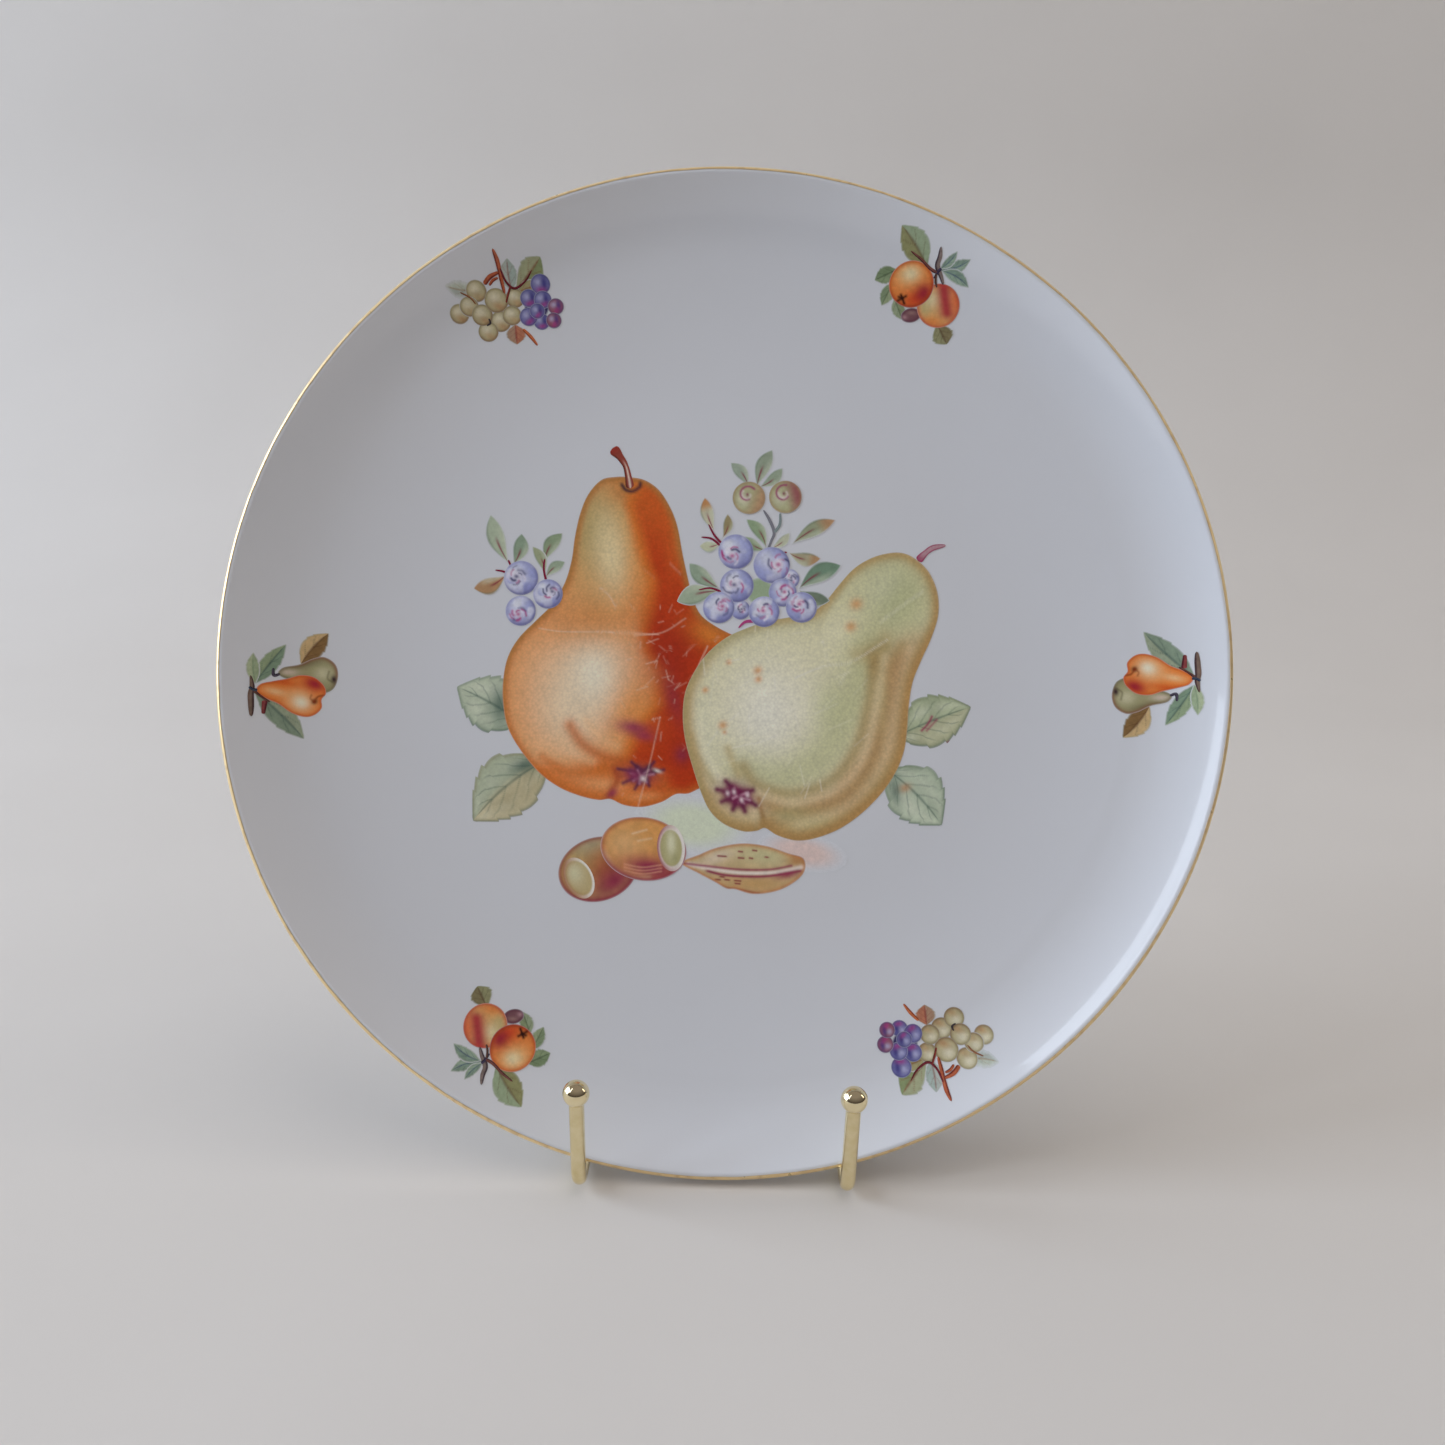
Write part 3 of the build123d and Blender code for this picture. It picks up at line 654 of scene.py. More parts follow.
pear.lines(
    (0.4, pale, 0.22, (-53, 10), (-46, 9.2), (-33, 9.4), (-19, 9)),
    (0.45, pale, 0.22, (-26, 8.6), (-18, 9.6), (-11.5, 13.8)),
    (0.4, pale, 0.22, (-23.6, -40), (-20.5, -27), (-18, -14.5)),
    (0.6, pale, 0.22, (-10, -6), (-7.4, 0.5), (-5, 6)),
    (0.4, pale, 0.22, (-36, 22), (-33.5, 20), (-31.5, 16.8)),
)
for _ in range(64):
    x, y = knife.normal(-19, 8), knife.normal(-4, 15)
    heading, length = knife.uniform(10, 150), knife.uniform(0.5, 1.0) * knife.uniform(1, 5)
    far = (x + length * cos(radians(heading)), y + length * sin(radians(heading)))
    pear.line(pale, 0.18, (x, y), far, strength=knife.uniform(0.1, 0.5))
pear.fade(0.3, 0.25)
stalk = stem([(-28.2, 50.8), (-28.8, 54), (-29.8, 57.5), (-32, 60.6), (-33.6, 62.2)],
             [2.8, 1.9, 1.6, 2.1, 3.8], (42, 12, 9), (60, 12))
lit = np.exp(-((stalk.across + 0.1) / 0.30) ** 2) * ease((0.72 - stalk.along) / 0.3)
stalk.wash((95, 84, 74), lit * 0.85)
stalk.wash((20, 7, 5), ease((stalk.across - 0.35) / 0.5) * 0.8)
stalk.wash((50, 8, 6), ease((stalk.along - 0.8) / 0.2) * 0.7)
amber = enamel("amber_enamel", 0.75, 0.20, 0.14)
fired("amber_pear", [pear, stalk], amber, "amber_enamel", 0.055, 0.07, "pear_amber")


# ---- Green pear
# The right fruit, leaning on the amber one: a paler wash than its neighbour, with an ochre
# blush down its shaded side, russet spots, and ribs running round to a split base.
green_outline = [
    (45, 33.6), (49.4, 34), (53.2, 32.6), (57.4, 28.8), (60, 23), (60.4, 16.5), (58.6, 10), (55.7, 3.2),
    (53.4, -3), (52.4, -10),
    (52, -17), (51.2, -22.8), (49, -28.6), (45.2, -34.5), (39.7, -40.3), (33.6, -44.8), (27, -47.6),
    (21.4, -48.5), (16, -47.2),
    (12.4, -45.2), (10, -46), (6, -46.2), (0.6, -44.2), (-3.5, -40.4), (-6.3, -34.6), (-8.6, -28),
    (-10.7, -21), (-11.6, -14),
    (-11, -7), (-8.3, -0.8), (-4.8, 4.2), (0, 8.4), (5, 11), (11.5, 13.4), (19, 15), (24.8, 16.6),
    (28.6, 20), (32, 24.4),
    (36, 29), (40.5, 32),
]
green = outlined(green_outline, (18, -16), 214, (80, 77, 54))
green.spots(
    ((93, 90, 76), 14, -12, 20, 20, 0, 0.95), ((94, 93, 84), 12, -14, 8, 12, 0, 0.6),
    ((62, 64, 40), 48, 22, 10, 11, 0, 0.9), ((78, 78, 58), 44, 24, 5, 7, -40, 0.6),
    ((90, 87, 66), 31, 10, 8, 5, 50, 0.8), ((62, 66, 38), 30, -10, 5, 7, 0, 0.35),
    ((86, 85, 68), -6, -18, 4, 14, 8, 0.5),
)
rib_x = np.interp(green.b, [-38, -36, -32, -22, -8, 0, 8, 20], [20, 26, 31, 37.5, 41.5, 41.8, 47, 52])
rib_y = np.interp(green.a, [3, 6, 10, 20, 31, 38], [-27, -29.5, -33.5, -36, -32, -23])
under_rib = ease((rib_y - green.b + 2) / 7) * ease((green.a - 6) / 10)
outer = np.maximum(ease((green.a - rib_x + 3) / 9), under_rib)
green.line((60, 62, 36), 6.5, (41, 6), (36, -10), (28.5, -23), (18, -30), (7, -29.5), strength=0.5)
green.wash((63, 39, 20), 0.78 * outer * ease((16 - green.b) / 14))
green.spots(
    ((76, 72, 44), 44.6, -6, 1.8, 12, 3, 0.45), ((66, 62, 34), 46, -33, 9, 4, 52, 0.5),
    ((70, 68, 40), 26, -44, 11, 3, 12, 0.75), ((60, 62, 38), 19, -41, 6, 2.4, 8, 0.6),
)
green.lines(
    (0.5, (50, 36, 16), 1.9, (45.5, 7), (42.4, 2), (41.2, -8), (38, -21), (31, -31), (20, -35.2), (10, -33),
     (5.8, -28)),
    (0.4, (54, 38, 18), 1.7, (50, 7.4), (46.6, 0.5), (45.4, -11), (41.6, -27), (33, -36.6), (20, -40.3),
     (12.4, -37.8)),
    (0.45, (90, 78, 54), 1.5, (45, 4), (43.6, -8), (40, -24), (32.2, -34), (20, -37.9), (11, -35.6)),
    (0.4, (88, 76, 52), 2.0, (53, 6), (49.4, -10), (46, -25), (37, -38), (22, -44.4)),
    (0.4, (60, 46, 24), 2.4, (37.5, 4.6), (41.6, 5.4), (45.5, 9.6)),
)
green.spot((52, 36, 16), 42, 3.0, 2.4, 4.4, 14, strength=0.5)
green.lines(
    (0.6, (66, 56, 32), 1.3, (1.4, -23), (3, -27), (4.6, -30.4)),
    (0.5, (62, 54, 32), 1.3, (-9, -19.5), (-7, -26), (-2.6, -32.4)),
    (0.5, (93, 90, 72), 1.2, (-6.5, -16), (-5, -24), (-1, -31)),
)
lobe = ease((-33.5 - green.b) / 3) * ease((11.5 - green.a) / 3)
green.wash((80, 68, 42), 0.7 * lobe)
green.edge((72, 42, 18), 2.6, 0.75, side=235)
green.lines(
    (0.75, (52, 34, 16), 0.8, (10.4, -37), (11.4, -41), (12.6, -45.4)),
    (0.45, (90, 80, 56), 1.0, (8.6, -38), (9.2, -42), (10, -44.8)),
)
green.edge((50, 47, 26), 2.4, 0.62)
green.edge((60, 36, 15), 2.6, 0.6, side=-38)
green.edge((68, 44, 20), 1.8, 0.5, side=20)
for x, y, size in ((37, 19, 1.7), (9.4, -0.6, 1.2), (9.6, -3.1, 1.0), (1.1, 1.6, 0.8), (-5.4, -6.5, 0.9),
                   (-0.2, -16.4, 1.2), (35.6, 12.5, 1.5), (0.4, -18.4, 0.6)):
    green.spot((80, 46, 22), x, y, size, size * 0.9, 30, strength=0.75)
green.spot((34, 7, 18), 4.4, -36, 5.2, 3.4, -25, strength=0.8)
for tip_x, tip_y in ((-1.4, -34.6), (1, -32.2), (3.2, -40.2), (6.6, -40.6), (9.6, -38.8), (8.6, -34.6),
                     (0, -38)):
    middle = ((tip_x + 4.2) / 2 + 0.3, (tip_y - 36) / 2)
    green.lines(
        (0.9, (30, 5, 15), 1.4, (4.2, -36), middle),
        (0.9, (26, 6, 14), 0.8, middle, (tip_x, tip_y)),
        (0.75, (80, 52, 62), 0.35, (4.2, -36.4), (middle[0] + 0.7, middle[1])),
    )
for x, y in ((3.4, -35.2), (5.6, -37.4), (7.2, -36), (1.6, -35.6)):
    green.spot((92, 80, 82), x, y, 0.6, 0.8, 20, strength=0.85)
green.mottle(0.9, 0.06, 7).mottle(5, 0.04, 8)
for _ in range(44):
    x, y = knife.normal(16, 13), knife.normal(-12, 13)
    heading, length = knife.uniform(10, 110), knife.uniform(1.5, 8)
    far = (x + length * cos(radians(heading)), y + length * sin(radians(heading)))
    green.line((95, 93, 86), 0.2, (x, y), far, strength=knife.uniform(0.1, 0.45))
green.lines(
    (0.45, (95, 93, 86), 0.25, (20, -2.5), (28, 1), (36, 2.5), (46, 9)),
    (0.4, (95, 93, 86), 0.25, (44, 14), (51, 19.5), (56, 23)),
)
green.fade(0.3, 0.25)
stalk = stem([(54.4, 31.8), (56.4, 34), (58.6, 35.6), (62.2, 36.4)], [2.6, 1.6, 1.6, 0.8], (62, 42, 46),
             (60, 10))
stalk.wash((45, 8, 20), ease((np.abs(stalk.across) - 0.45) / 0.4) * 0.8)
stalk.wash((50, 10, 22), ease((0.3 - stalk.along) / 0.3) * 0.8)
leafy = enamel("green_enamel", 0.75, 0.20, 0.14)
fired("green_pear", [green, stalk], leafy, "green_enamel", 0.085, 0.10, "pear_green")


# ---- Leaves of the centre print
# Two leaves stand out from behind each pear: a grey-green wash with darker teal edges and drawn
# veins, the lower left one turning brown and the right pair veined in magenta.
SAGE = (46, 54, 40)
TEAL = (12, 20, 17)


def leaf(base, tip, width, colour, bow=0.0, belly=0.45, teeth=0, count=(44, 22)):
    """A film from base to tip along a bowed line. Its half width is a sine that is widest at the
    belly's share of the length; teeth notch the edge. across runs from -1 on the left to 1."""
    base, tip = np.array(base, float), np.array(tip, float)
    length = np.hypot(*(tip - base))
    forward = (tip - base) / length
    left = np.array([-forward[1], forward[0]])
    s, u = np.meshgrid(np.linspace(0, 1, count[0]), np.linspace(1, -1, count[1]), indexing="ij")
    half = width / 2 * np.sin(pi * np.clip(s, 0, 1) ** (log(0.5) / log(belly))) ** 0.85
    half = half * (1 - 0.11 * np.mod(s * teeth + 0.3 * np.sin(9 * s), 1) * (teeth > 0)) + 0.05
    shift = u * half + bow * length * 4 * s * (1 - s)
    a = base[0] + forward[0] * s * length + left[0] * shift
    b = base[1] + forward[1] * s * length + left[1] * shift
    return Film(a, b, half * (1 - abs(u)), s, -u, colour)


def veins(film, colour, number, slant=0.35, width=0.055, strength=0.8, rib=0.10):
    """A midrib and pairs of side veins, which start on the midrib and slope towards the tip."""
    film.wash(colour, strength * np.exp(-(film.across / rib) ** 2) * ease((0.97 - film.along) / 0.1))
    phase = np.mod(film.along * number - abs(film.across) * slant * number, 1) - 0.5
    reach = ease((0.85 - abs(film.across)) / 0.3) * ease((0.9 - film.along) / 0.1) * ease(film.along / 0.1)
    return film.wash(colour, 0.75 * strength * np.exp(-(phase / (width * number / 3)) ** 2) * reach)


def big_leaf(base, tip, width, light, dark, drawn, bow=0.0, other_half=None):
    """A leaf of the centre print, with its halves, veins, mottling and dark notched edge."""
    film = leaf(base, tip, width, np.array(light) * 1.12, bow, teeth=6, belly=0.48, count=(80, 52))
    if other_half is not None:
        film.wash(other_half, 0.85 * ease((film.across + 0.1) / 0.3))
    cloudy = 0.5 * grain(film.a, film.b, 5, 3) * ease(0.5 - film.across)
    film.wash(dark, cloudy + 0.35 * ease(1 - film.along * 2.4))
    film.wash((84, 86, 74), 0.45 * np.exp(-((abs(film.across) - 0.45) / 0.22) ** 2) * grain(film.a, film.b,
                                                                                            3, 9))
    veins(film, drawn, 5, 0.45, 0.035, 0.55, 0.045)
    film.edge(dark, 1.0, 0.7).edge(TEAL, 0.5, 0.5, side=-60)
    return film.mottle(0.8, 0.08, 4).fade(0.5, 0.5)


upper = big_leaf((-57, -17), (-75.8, -7.2), 17, (62, 67, 55), (30, 38, 29), TEAL, -0.03)
upper.spot(TEAL, -63.5, -12, 2.4, 5, 10, strength=0.7)
lower = big_leaf((-50, -27.5), (-70, -45), 19, (69, 64, 47), (42, 41, 28), TEAL, -0.06, (56, 63, 50))
lower.spots(
    ((58, 50, 31), -57, -37, 8, 3.4, 35, 0.5), (TEAL, -56, -29, 4.4, 2, 20, 0.7),
)
foliage = enamel("leaf_enamel", 0.5, 0.10, 0.15)
fired("left_leaves", [upper, lower], foliage, "leaf_enamel", 0.035, 0.045, "leaves_left")

upper = big_leaf((49, -18.5), (70, -9.6), 15.5, (58, 63, 46), (33, 38, 26), TEAL, 0.02, (64, 64, 46))
upper.lines(
    (0.85, (45, 8, 18), 0.35, (56.2, -16.6), (58, -14.6), (59, -12.6)),
    (0.6, (45, 8, 18), 0.35, (57.6, -16.6), (59, -15), (60.4, -13.4)),
    (0.6, (42, 8, 16), 0.4, (52.6, -21.8), (56, -23), (60.6, -22.2), (64, -19.6)),
)
lower = big_leaf((46.5, -28), (62.2, -43.2), 17.5, (62, 68, 56), (32, 40, 30), TEAL, 0.05)
lower.spots(
    ((66, 42, 26), 51.6, -33, 1.8, 1.2, 20, 0.8), (TEAL, 49, -34, 1.6, 4, 10, 0.6),
)
fired("right_leaves", [upper, lower], foliage, "leaf_enamel", 0.035, 0.045, "leaves_right")


# ---- Berries of the centre print
# Whortleberries in periwinkle blue, each with a swirled crown touched in navy and magenta, on
# sprigs of small leaves. Two unripe ones stand above the middle bunch.
PERIWINKLE = (47, 50, 76)
MAGENTA = (58, 13, 34)
NAVY = (12, 12, 26)
MAROON = (36, 6, 12)


def ring(x, y, radius, start, sweep):
    """Points round part of a circle, drawing inwards like a swirl."""
    angle = np.radians(start + np.linspace(0, sweep, 9))
    size = radius * np.linspace(1, 0.55, 9)
    return list(zip(x + size * np.cos(angle), y + size * np.sin(angle)))


def berry(x, y, radius, crown_x, crown_y, drawn, turn=0.0):
    """A blue berry with its crown off centre by crown_x and crown_y."""
    film = oval(x, y, radius, radius, PERIWINKLE, 0, 34 if radius > 3.2 else 22)
    film.wash((84, 85, 94), 0.75 * ease(grain(film.a, film.b, 0.45 * radius, 4) * 2.4 - 0.9))
    film.spot((86, 88, 95), x - 0.3 * radius, y + 0.4 * radius, 0.6 * radius, 0.45 * radius, turn, 0.75)
    film.wash((27, 27, 52), 0.75 * ease((y - 0.25 * radius - film.b - 0.4 * (x - film.a)) / radius))
    film.edge(NAVY, 0.6, 0.7, side=-60 + turn / 8).edge((36, 36, 62), 0.6, 0.5)
    cx, cy = x + crown_x, y + crown_y
    film.spot((92, 88, 95), cx, cy, 0.42 * radius, 0.38 * radius, 0, 0.8)
    for k in range(9):
        reach, dab = radius * knife.uniform(0.22, 0.62), turn + 40 * k + knife.uniform(-25, 25)
        bend = knife.uniform(25, 70)
        turns = [(radians(dab + bend * t), reach * q) for t, q in ((0, 1.1), (0.5, 1), (1, 0.8))]
        way = [(cx + far * cos(angle), cy + far * sin(angle)) for angle, far in turns]
        ink = (drawn, NAVY, MAGENTA, (94, 90, 97))[k % 4]
        film.line(ink, knife.uniform(0.2, 0.4), *way, strength=knife.uniform(0.4, 0.9))
    film.spot(drawn, cx, cy, 0.14 * radius, 0.12 * radius, 0, 0.8)
    return film.mottle(0.8, 0.12, 2).fade(0.3, 0.4)


def unripe(x, y, radius, turn, blush):
    """A green berry reddened on one side, with a magenta swirl."""
    film = oval(x, y, radius, radius, (58, 58, 38), 0, 34)
    film.spot((80, 79, 64), x - 0.35 * radius, y - 0.1 * radius, 0.4 * radius, 0.4 * radius, 0, 0.8)
    lean = (film.a - x) * cos(radians(turn)) + (film.b - y) * sin(radians(turn))
    film.wash(blush, 0.85 * ease(lean / radius + 0.15))
    film.edge((50, 36, 22), 0.7, 0.7)
    film.line((46, 8, 24), 0.34, *ring(x - 0.1 * radius, y + 0.2 * radius, 0.55 * radius, turn + 60, 250),
              strength=0.8)
    film.line((88, 80, 80), 0.3, *ring(x - 0.1 * radius, y + 0.2 * radius, 0.34 * radius, turn + 160, 220),
              strength=0.6)
    film.spot((30, 6, 14), x - 0.1 * radius, y + 0.2 * radius, 0.4, 0.5, 0, 0.8)
    return film.mottle(0.8, 0.12, 2).fade(0.3, 0.4)


def sprig_leaf(base, tip, width, colour=SAGE, tip_colour=None, bow=0.06, drawn=MAROON):
    """A small leaf of a berry sprig: thin at its far end, with one drawn rib."""
    film = leaf(base, tip, width, colour, bow, belly=0.58, count=(36, 18))
    film.wash((72, 76, 62), 0.5 * ease((film.across - 0.1) / 0.5) * ease((0.9 - film.along) / 0.4))
    if tip_colour is not None:
        film.wash(tip_colour, 0.9 * ease((film.along - 0.55) / 0.3))
    film.wash((24, 32, 24), 0.5 * ease((-0.55 - film.across) / 0.3))
    film.wash(drawn, 0.85 * np.exp(-(film.across / 0.13) ** 2) * ease((0.62 - film.along) / 0.25))
    return film.mottle(1.0, 0.10, 3).fade(0.55, 0.85)


TAN = (60, 40, 24)
films = [
    sprig_leaf((-62.2, 28.5), (-67.8, 42.2), 5.2, (56, 63, 50)),
    sprig_leaf((-61, 28), (-58.8, 37), 4.6, (40, 49, 38), bow=-0.1),
    sprig_leaf((-52, 29), (-47.2, 37.4), 4.4, (40, 48, 34), bow=0.12),
    sprig_leaf((-51.8, 25.4), (-55.6, 33.4), 3.2, (48, 52, 36), bow=-0.1),
    sprig_leaf((-51.6, 24.6), (-46.2, 29.2), 3.4, (46, 54, 42), bow=0.1),
    sprig_leaf((-63, 25), (-72, 21), 5.0, TAN, bow=0.12),
    stem([(-52, 30), (-52.2, 27), (-51.4, 23.5)], [0.5, 0.6, 0.7], MAROON, (20, 4)),
    stem([(-62.4, 29.4), (-61.4, 27.4), (-60.2, 26)], [0.5, 0.6, 0.7], MAROON, (20, 4)),
    stem([(-66, 26.4), (-63.6, 26), (-61.8, 25)], [0.4, 0.6, 0.8], MAROON, (20, 4)),
    berry(-58.6, 24.3, 4.9, -1.3, 0.4, NAVY, 40),
    berry(-58.4, 14.9, 4.3, -0.7, -1.0, MAGENTA, 200),
    berry(-50.8, 19.9, 4.2, 1.2, 0.7, NAVY, 120),
]
bloom = enamel("berry_enamel", 0.5, 0.10, 0.14)
fired("left_berries", films, bloom, "berry_enamel", 0.04, 0.13, "berries_left")

films = [
    sprig_leaf((8, 52), (12.2, 62.8), 4.6, (44, 50, 40)),
    sprig_leaf((5.6, 52), (0.4, 58.8), 3.8, (48, 55, 46), bow=-0.1),
    sprig_leaf((8.6, 52), (15.2, 57.6), 3.6, (46, 53, 42), bow=-0.1),
    sprig_leaf((-3.8, 39), (-6.8, 48.6), 4.0, (70, 68, 54), (66, 36, 16)),
    sprig_leaf((-1.6, 37), (-0.2, 44), 3.0, (46, 40, 24), bow=-0.12),
    sprig_leaf((-2, 35.6), (-8, 34.6), 3.4, (70, 72, 55), bow=0.1),
    sprig_leaf((11, 34.4), (5.2, 42.6), 3.8, (42, 52, 36), bow=-0.12),
    sprig_leaf((11, 33.8), (4.8, 37.6), 3.4, (44, 54, 38), bow=0.1),
    sprig_leaf((12.4, 34.4), (17.6, 39), 2.8, (66, 68, 54), bow=-0.1),
    sprig_leaf((18.4, 35.8), (30.6, 43), 4.4, (46, 50, 36), (62, 40, 24), 0.05),
    sprig_leaf((17.4, 33.4), (26.6, 31.8), 4.2, (56, 52, 38), (60, 40, 24), -0.12),
    sprig_leaf((20.6, 23), (32.4, 30), 5.6, (30, 42, 32), None, 0.08),
    sprig_leaf((20.6, 22.6), (29.4, 19.8), 4.2, (30, 36, 28), None, -0.1),
    sprig_leaf((-2, 22.6), (-10.8, 29.6), 4.8, (44, 53, 42), None, 0.06),
    sprig_leaf((-2.4, 21.8), (-14, 18.6), 5.8, (52, 60, 47), None, -0.06),
    oval(9.4, 22, 4, 4, (48, 58, 42), 0, 16).fade(0.8, 0.8),
    stem([(10, 45.4), (11.8, 42.6), (13.2, 39), (12.4, 36.4), (11.2, 33)], [0.6, 0.9, 0.9, 0.7, 0.7],
         (34, 34, 38), (40, 5)),
    stem([(14.8, 44.6), (14.8, 41.4), (13.3, 39)], [0.6, 0.8, 0.9], (36, 42, 42), (24, 5)),
    stem([(17, 33.4), (14.8, 33), (12.8, 31.6)], [0.5, 0.6, 0.7], MAROON, (20, 4)),
    stem([(-5.6, 41), (-3.8, 37.8), (-1.6, 35.4)], [0.4, 0.6, 0.7], MAROON, (20, 4)),
    stem([(-7.6, 37.2), (-4.6, 36.8), (-2, 34.8)], [0.4, 0.6, 0.7], MAROON, (20, 4)),
    stem([(-8, 22), (-4.6, 22.6), (-1.4, 21.6)], [0.4, 0.6, 0.7], MAROON, (20, 4)),
    stem([(3.6, 11.4), (5.6, 13.2), (9, 13.6), (13.6, 15.2)], [0.5, 0.9, 0.9, 0.6], MAGENTA, (30, 4)),
    berry(17.9, 25.8, 2.8, 0.4, 0.3, NAVY, 30),
    berry(4.1, 16.6, 2.8, 0.3, 0.2, NAVY, 200),
    berry(2.4, 33.2, 5.0, -1.0, -1.2, MAGENTA, 170),
    berry(12.7, 29.6, 5.2, 1.9, 0.2, MAGENTA, 300),
    berry(16.0, 21.8, 4.0, 0.5, 0.2, MAGENTA, 100),
    berry(2.9, 23.5, 4.8, -0.8, 0.2, NAVY, 250),
    berry(-2.1, 17.1, 4.5, 1.0, 0.4, MAGENTA, 60),
    berry(10.8, 16.2, 4.4, -0.3, 0.3, MAGENTA, 10),
    berry(21.4, 17.7, 4.4, -0.6, 0.9, MAGENTA, 140),
    unripe(5.8, 48.8, 4.7, -20, (62, 40, 26)),
    unripe(16.2, 49.3, 4.7, 15, (44, 12, 17)),
]
fired("centre_berries", films, bloom, "berry_enamel", 0.075, 0.165, "berries_centre")


# ---- Hazelnuts and almond
# Two hazelnuts, the nearer lying over the other with its pale ringed scar to the right, and an
# almond in its pitted shell, on a thin green wash that grounds the fruit.
CHESTNUT = (62, 30, 11)
WINE = (40, 6, 15)
wash = oval(-8, -44.6, 17, 8.6, (80, 85, 70), -6, 60).mottle(0.7, 0.07, 3).fade(5.5, 1.0)
blush = oval(23, -51.6, 13, 5.4, (86, 72, 68), -10, 40).mottle(0.7, 0.10, 5).fade(3.6, 1.0)

far_nut = oval(-34.4, -57.8, 11.4, 9.0, (66, 48, 24), 18, 64)
far_nut.spots(
    ((56, 56, 42), -36, -50.6, 6, 3.6, 20, 0.85), (CHESTNUT, -32, -57, 6, 7, 30, 0.55),
    ((48, 14, 10), -32, -57.5, 7, 4.4, 60, 0.7), (WINE, -29.6, -61, 6.4, 3.4, 40, 0.85),
    ((66, 42, 22), -28, -65, 5, 1.6, 22, 0.7),
)
far_nut.edge((40, 12, 10), 1.0, 0.8)
far_nut.edge(WINE, 1.4, 0.6, side=-60)
far_nut.mottle(1.2, 0.12, 5).fade(0.4, 0.6)
far_scar = oval(-39.8, -60.4, 6.1, 4.0, (92, 88, 82), -62, 40)
far_scar.wash((66, 56, 34), ease((0.90 - far_scar.along) / 0.10))
far_scar.spot((80, 78, 58), -41, -59, 2.4, 3.2, 20, 0.8)
far_scar.edge((52, 26, 12), 1.0, 0.9, side=200)
near_nut = oval(-21.8, -51.8, 12.2, 8.9, (80, 46, 19), -8, 68)
near_nut.spots(
    ((86, 60, 34), -27, -50, 6, 5, 15, 0.75), ((84, 48, 20), -20, -46, 8, 3, -5, 0.6),
    (WINE, -19.6, -57.2, 7.4, 3.0, -8, 1.0),
)
for k in range(3):
    near_nut.line((86, 52, 36), 0.28, (-27, -56.2 - 0.9 * k), (-22, -57.0 - 0.9 * k),
                  (-16.6, -56.2 - 0.9 * k), strength=0.6)
near_nut.lines(
    (0.7, (90, 70, 46), 0.8, (-33, -53), (-30, -57.6), (-25.4, -60), (-20, -60)),
    (0.5, (94, 80, 62), 0.3, (-25, -47.6), (-21, -46.4)),
    (0.4, (94, 80, 62), 0.3, (-23.4, -49.6), (-19.6, -48.8)),
)
near_nut.edge((55, 18, 10), 0.8, 0.75)
near_nut.edge(WINE, 1.2, 0.7, side=-75)
near_nut.mottle(1.4, 0.12, 6).fade(0.4, 0.6)
near_scar = oval(-14.0, -51.4, 6.5, 3.9, (92, 88, 84), -84, 44)
near_scar.wash((60, 57, 34), ease((0.84 - near_scar.along) / 0.10))
near_scar.spots(
    ((86, 85, 66), -14, -50, 1.3, 3.6, 4, 0.9), ((50, 48, 28), -12.6, -54.4, 1.2, 1.8, 0, 0.6),
)
near_scar.edge((48, 14, 16), 0.7, 0.8, side=185)
nutshell = enamel("nut_enamel", 0.5, 0.10, 0.15)
fired("hazelnut_pair", [wash, blush, far_nut, far_scar, near_nut, near_scar], nutshell, "nut_enamel", 0.035,
      0.11, "hazelnuts")

almond_outline = [(-11, -55.5), (-6, -53), (-1, -50.9), (6, -49.6), (13, -50.2), (19, -52), (23.4, -53.4),
                  (23.8, -57), (21, -60.2),
                  (16, -62.8), (9.5, -63.8), (4.4, -62.6), (1.8, -62.4), (-1.6, -60.6), (-6, -58.4)]
almond = outlined(almond_outline, (8, -57), 84, (72, 58, 36))
almond.spots(
    ((72, 70, 46), 12, -53, 9, 2.6, -8, 0.75), ((90, 80, 68), -1, -53.6, 5, 1.8, 20, 0.7),
    ((70, 44, 20), 10, -61, 10, 2.4, 0, 0.6), ((62, 30, 12), 21.6, -54, 3, 2, 0, 0.7),
)
almond.lines(
    (0.9, (94, 86, 80), 0.7, (-9, -55.8), (-2, -57), (6, -57.9), (15, -57.6), (23, -56)),
    (0.75, WINE, 0.38, (-10.4, -55.6), (-2, -56.4), (6, -57), (14, -56.8), (20, -55.6)),
    (0.85, WINE, 0.42, (-3.6, -57.6), (1, -58.6), (7, -58.9), (14, -58.6), (22.6, -57)),
)
almond.spot(WINE, 19, -58.2, 3.4, 1, 12, 0.75)
almond.line((34, 10, 10), 0.4, (-2, -60.4), (1, -62.2), (5, -62.6), (11, -63.6), strength=0.6)
for x, y, length in ((5.6, -52, 1.0), (9.6, -51.6, 1.0), (5.8, -53.8, 1.4), (8.6, -53.8, 0.8),
                     (0.4, -53.4, 2.2), (-0.6, -60, 1.2), (2, -60, 1.2),
                     (5, -60.2, 1.6), (5, -61, 1.2), (0.6, -59.2, 1.0), (13, -53.4, 0.7)):
    almond.line((38, 10, 11), 0.28, (x - length / 2, y + 0.1), (x + length / 2, y), strength=0.85)
almond.edge((66, 28, 12), 0.8, 0.7)
almond.mottle(1.3, 0.12, 6).fade(0.4, 0.6)
fired("almond_shell", [almond], nutshell, "nut_enamel", 0.06, 0.06, "almond")


# ---- Border sprays
# Three small transfers, pears, apricots and grapes, each used twice. They sit where the dish
# turns up into the rim, and the second of each pair goes on opposite and the other way up.
SPRAY_RADIUS = rim_end - 16


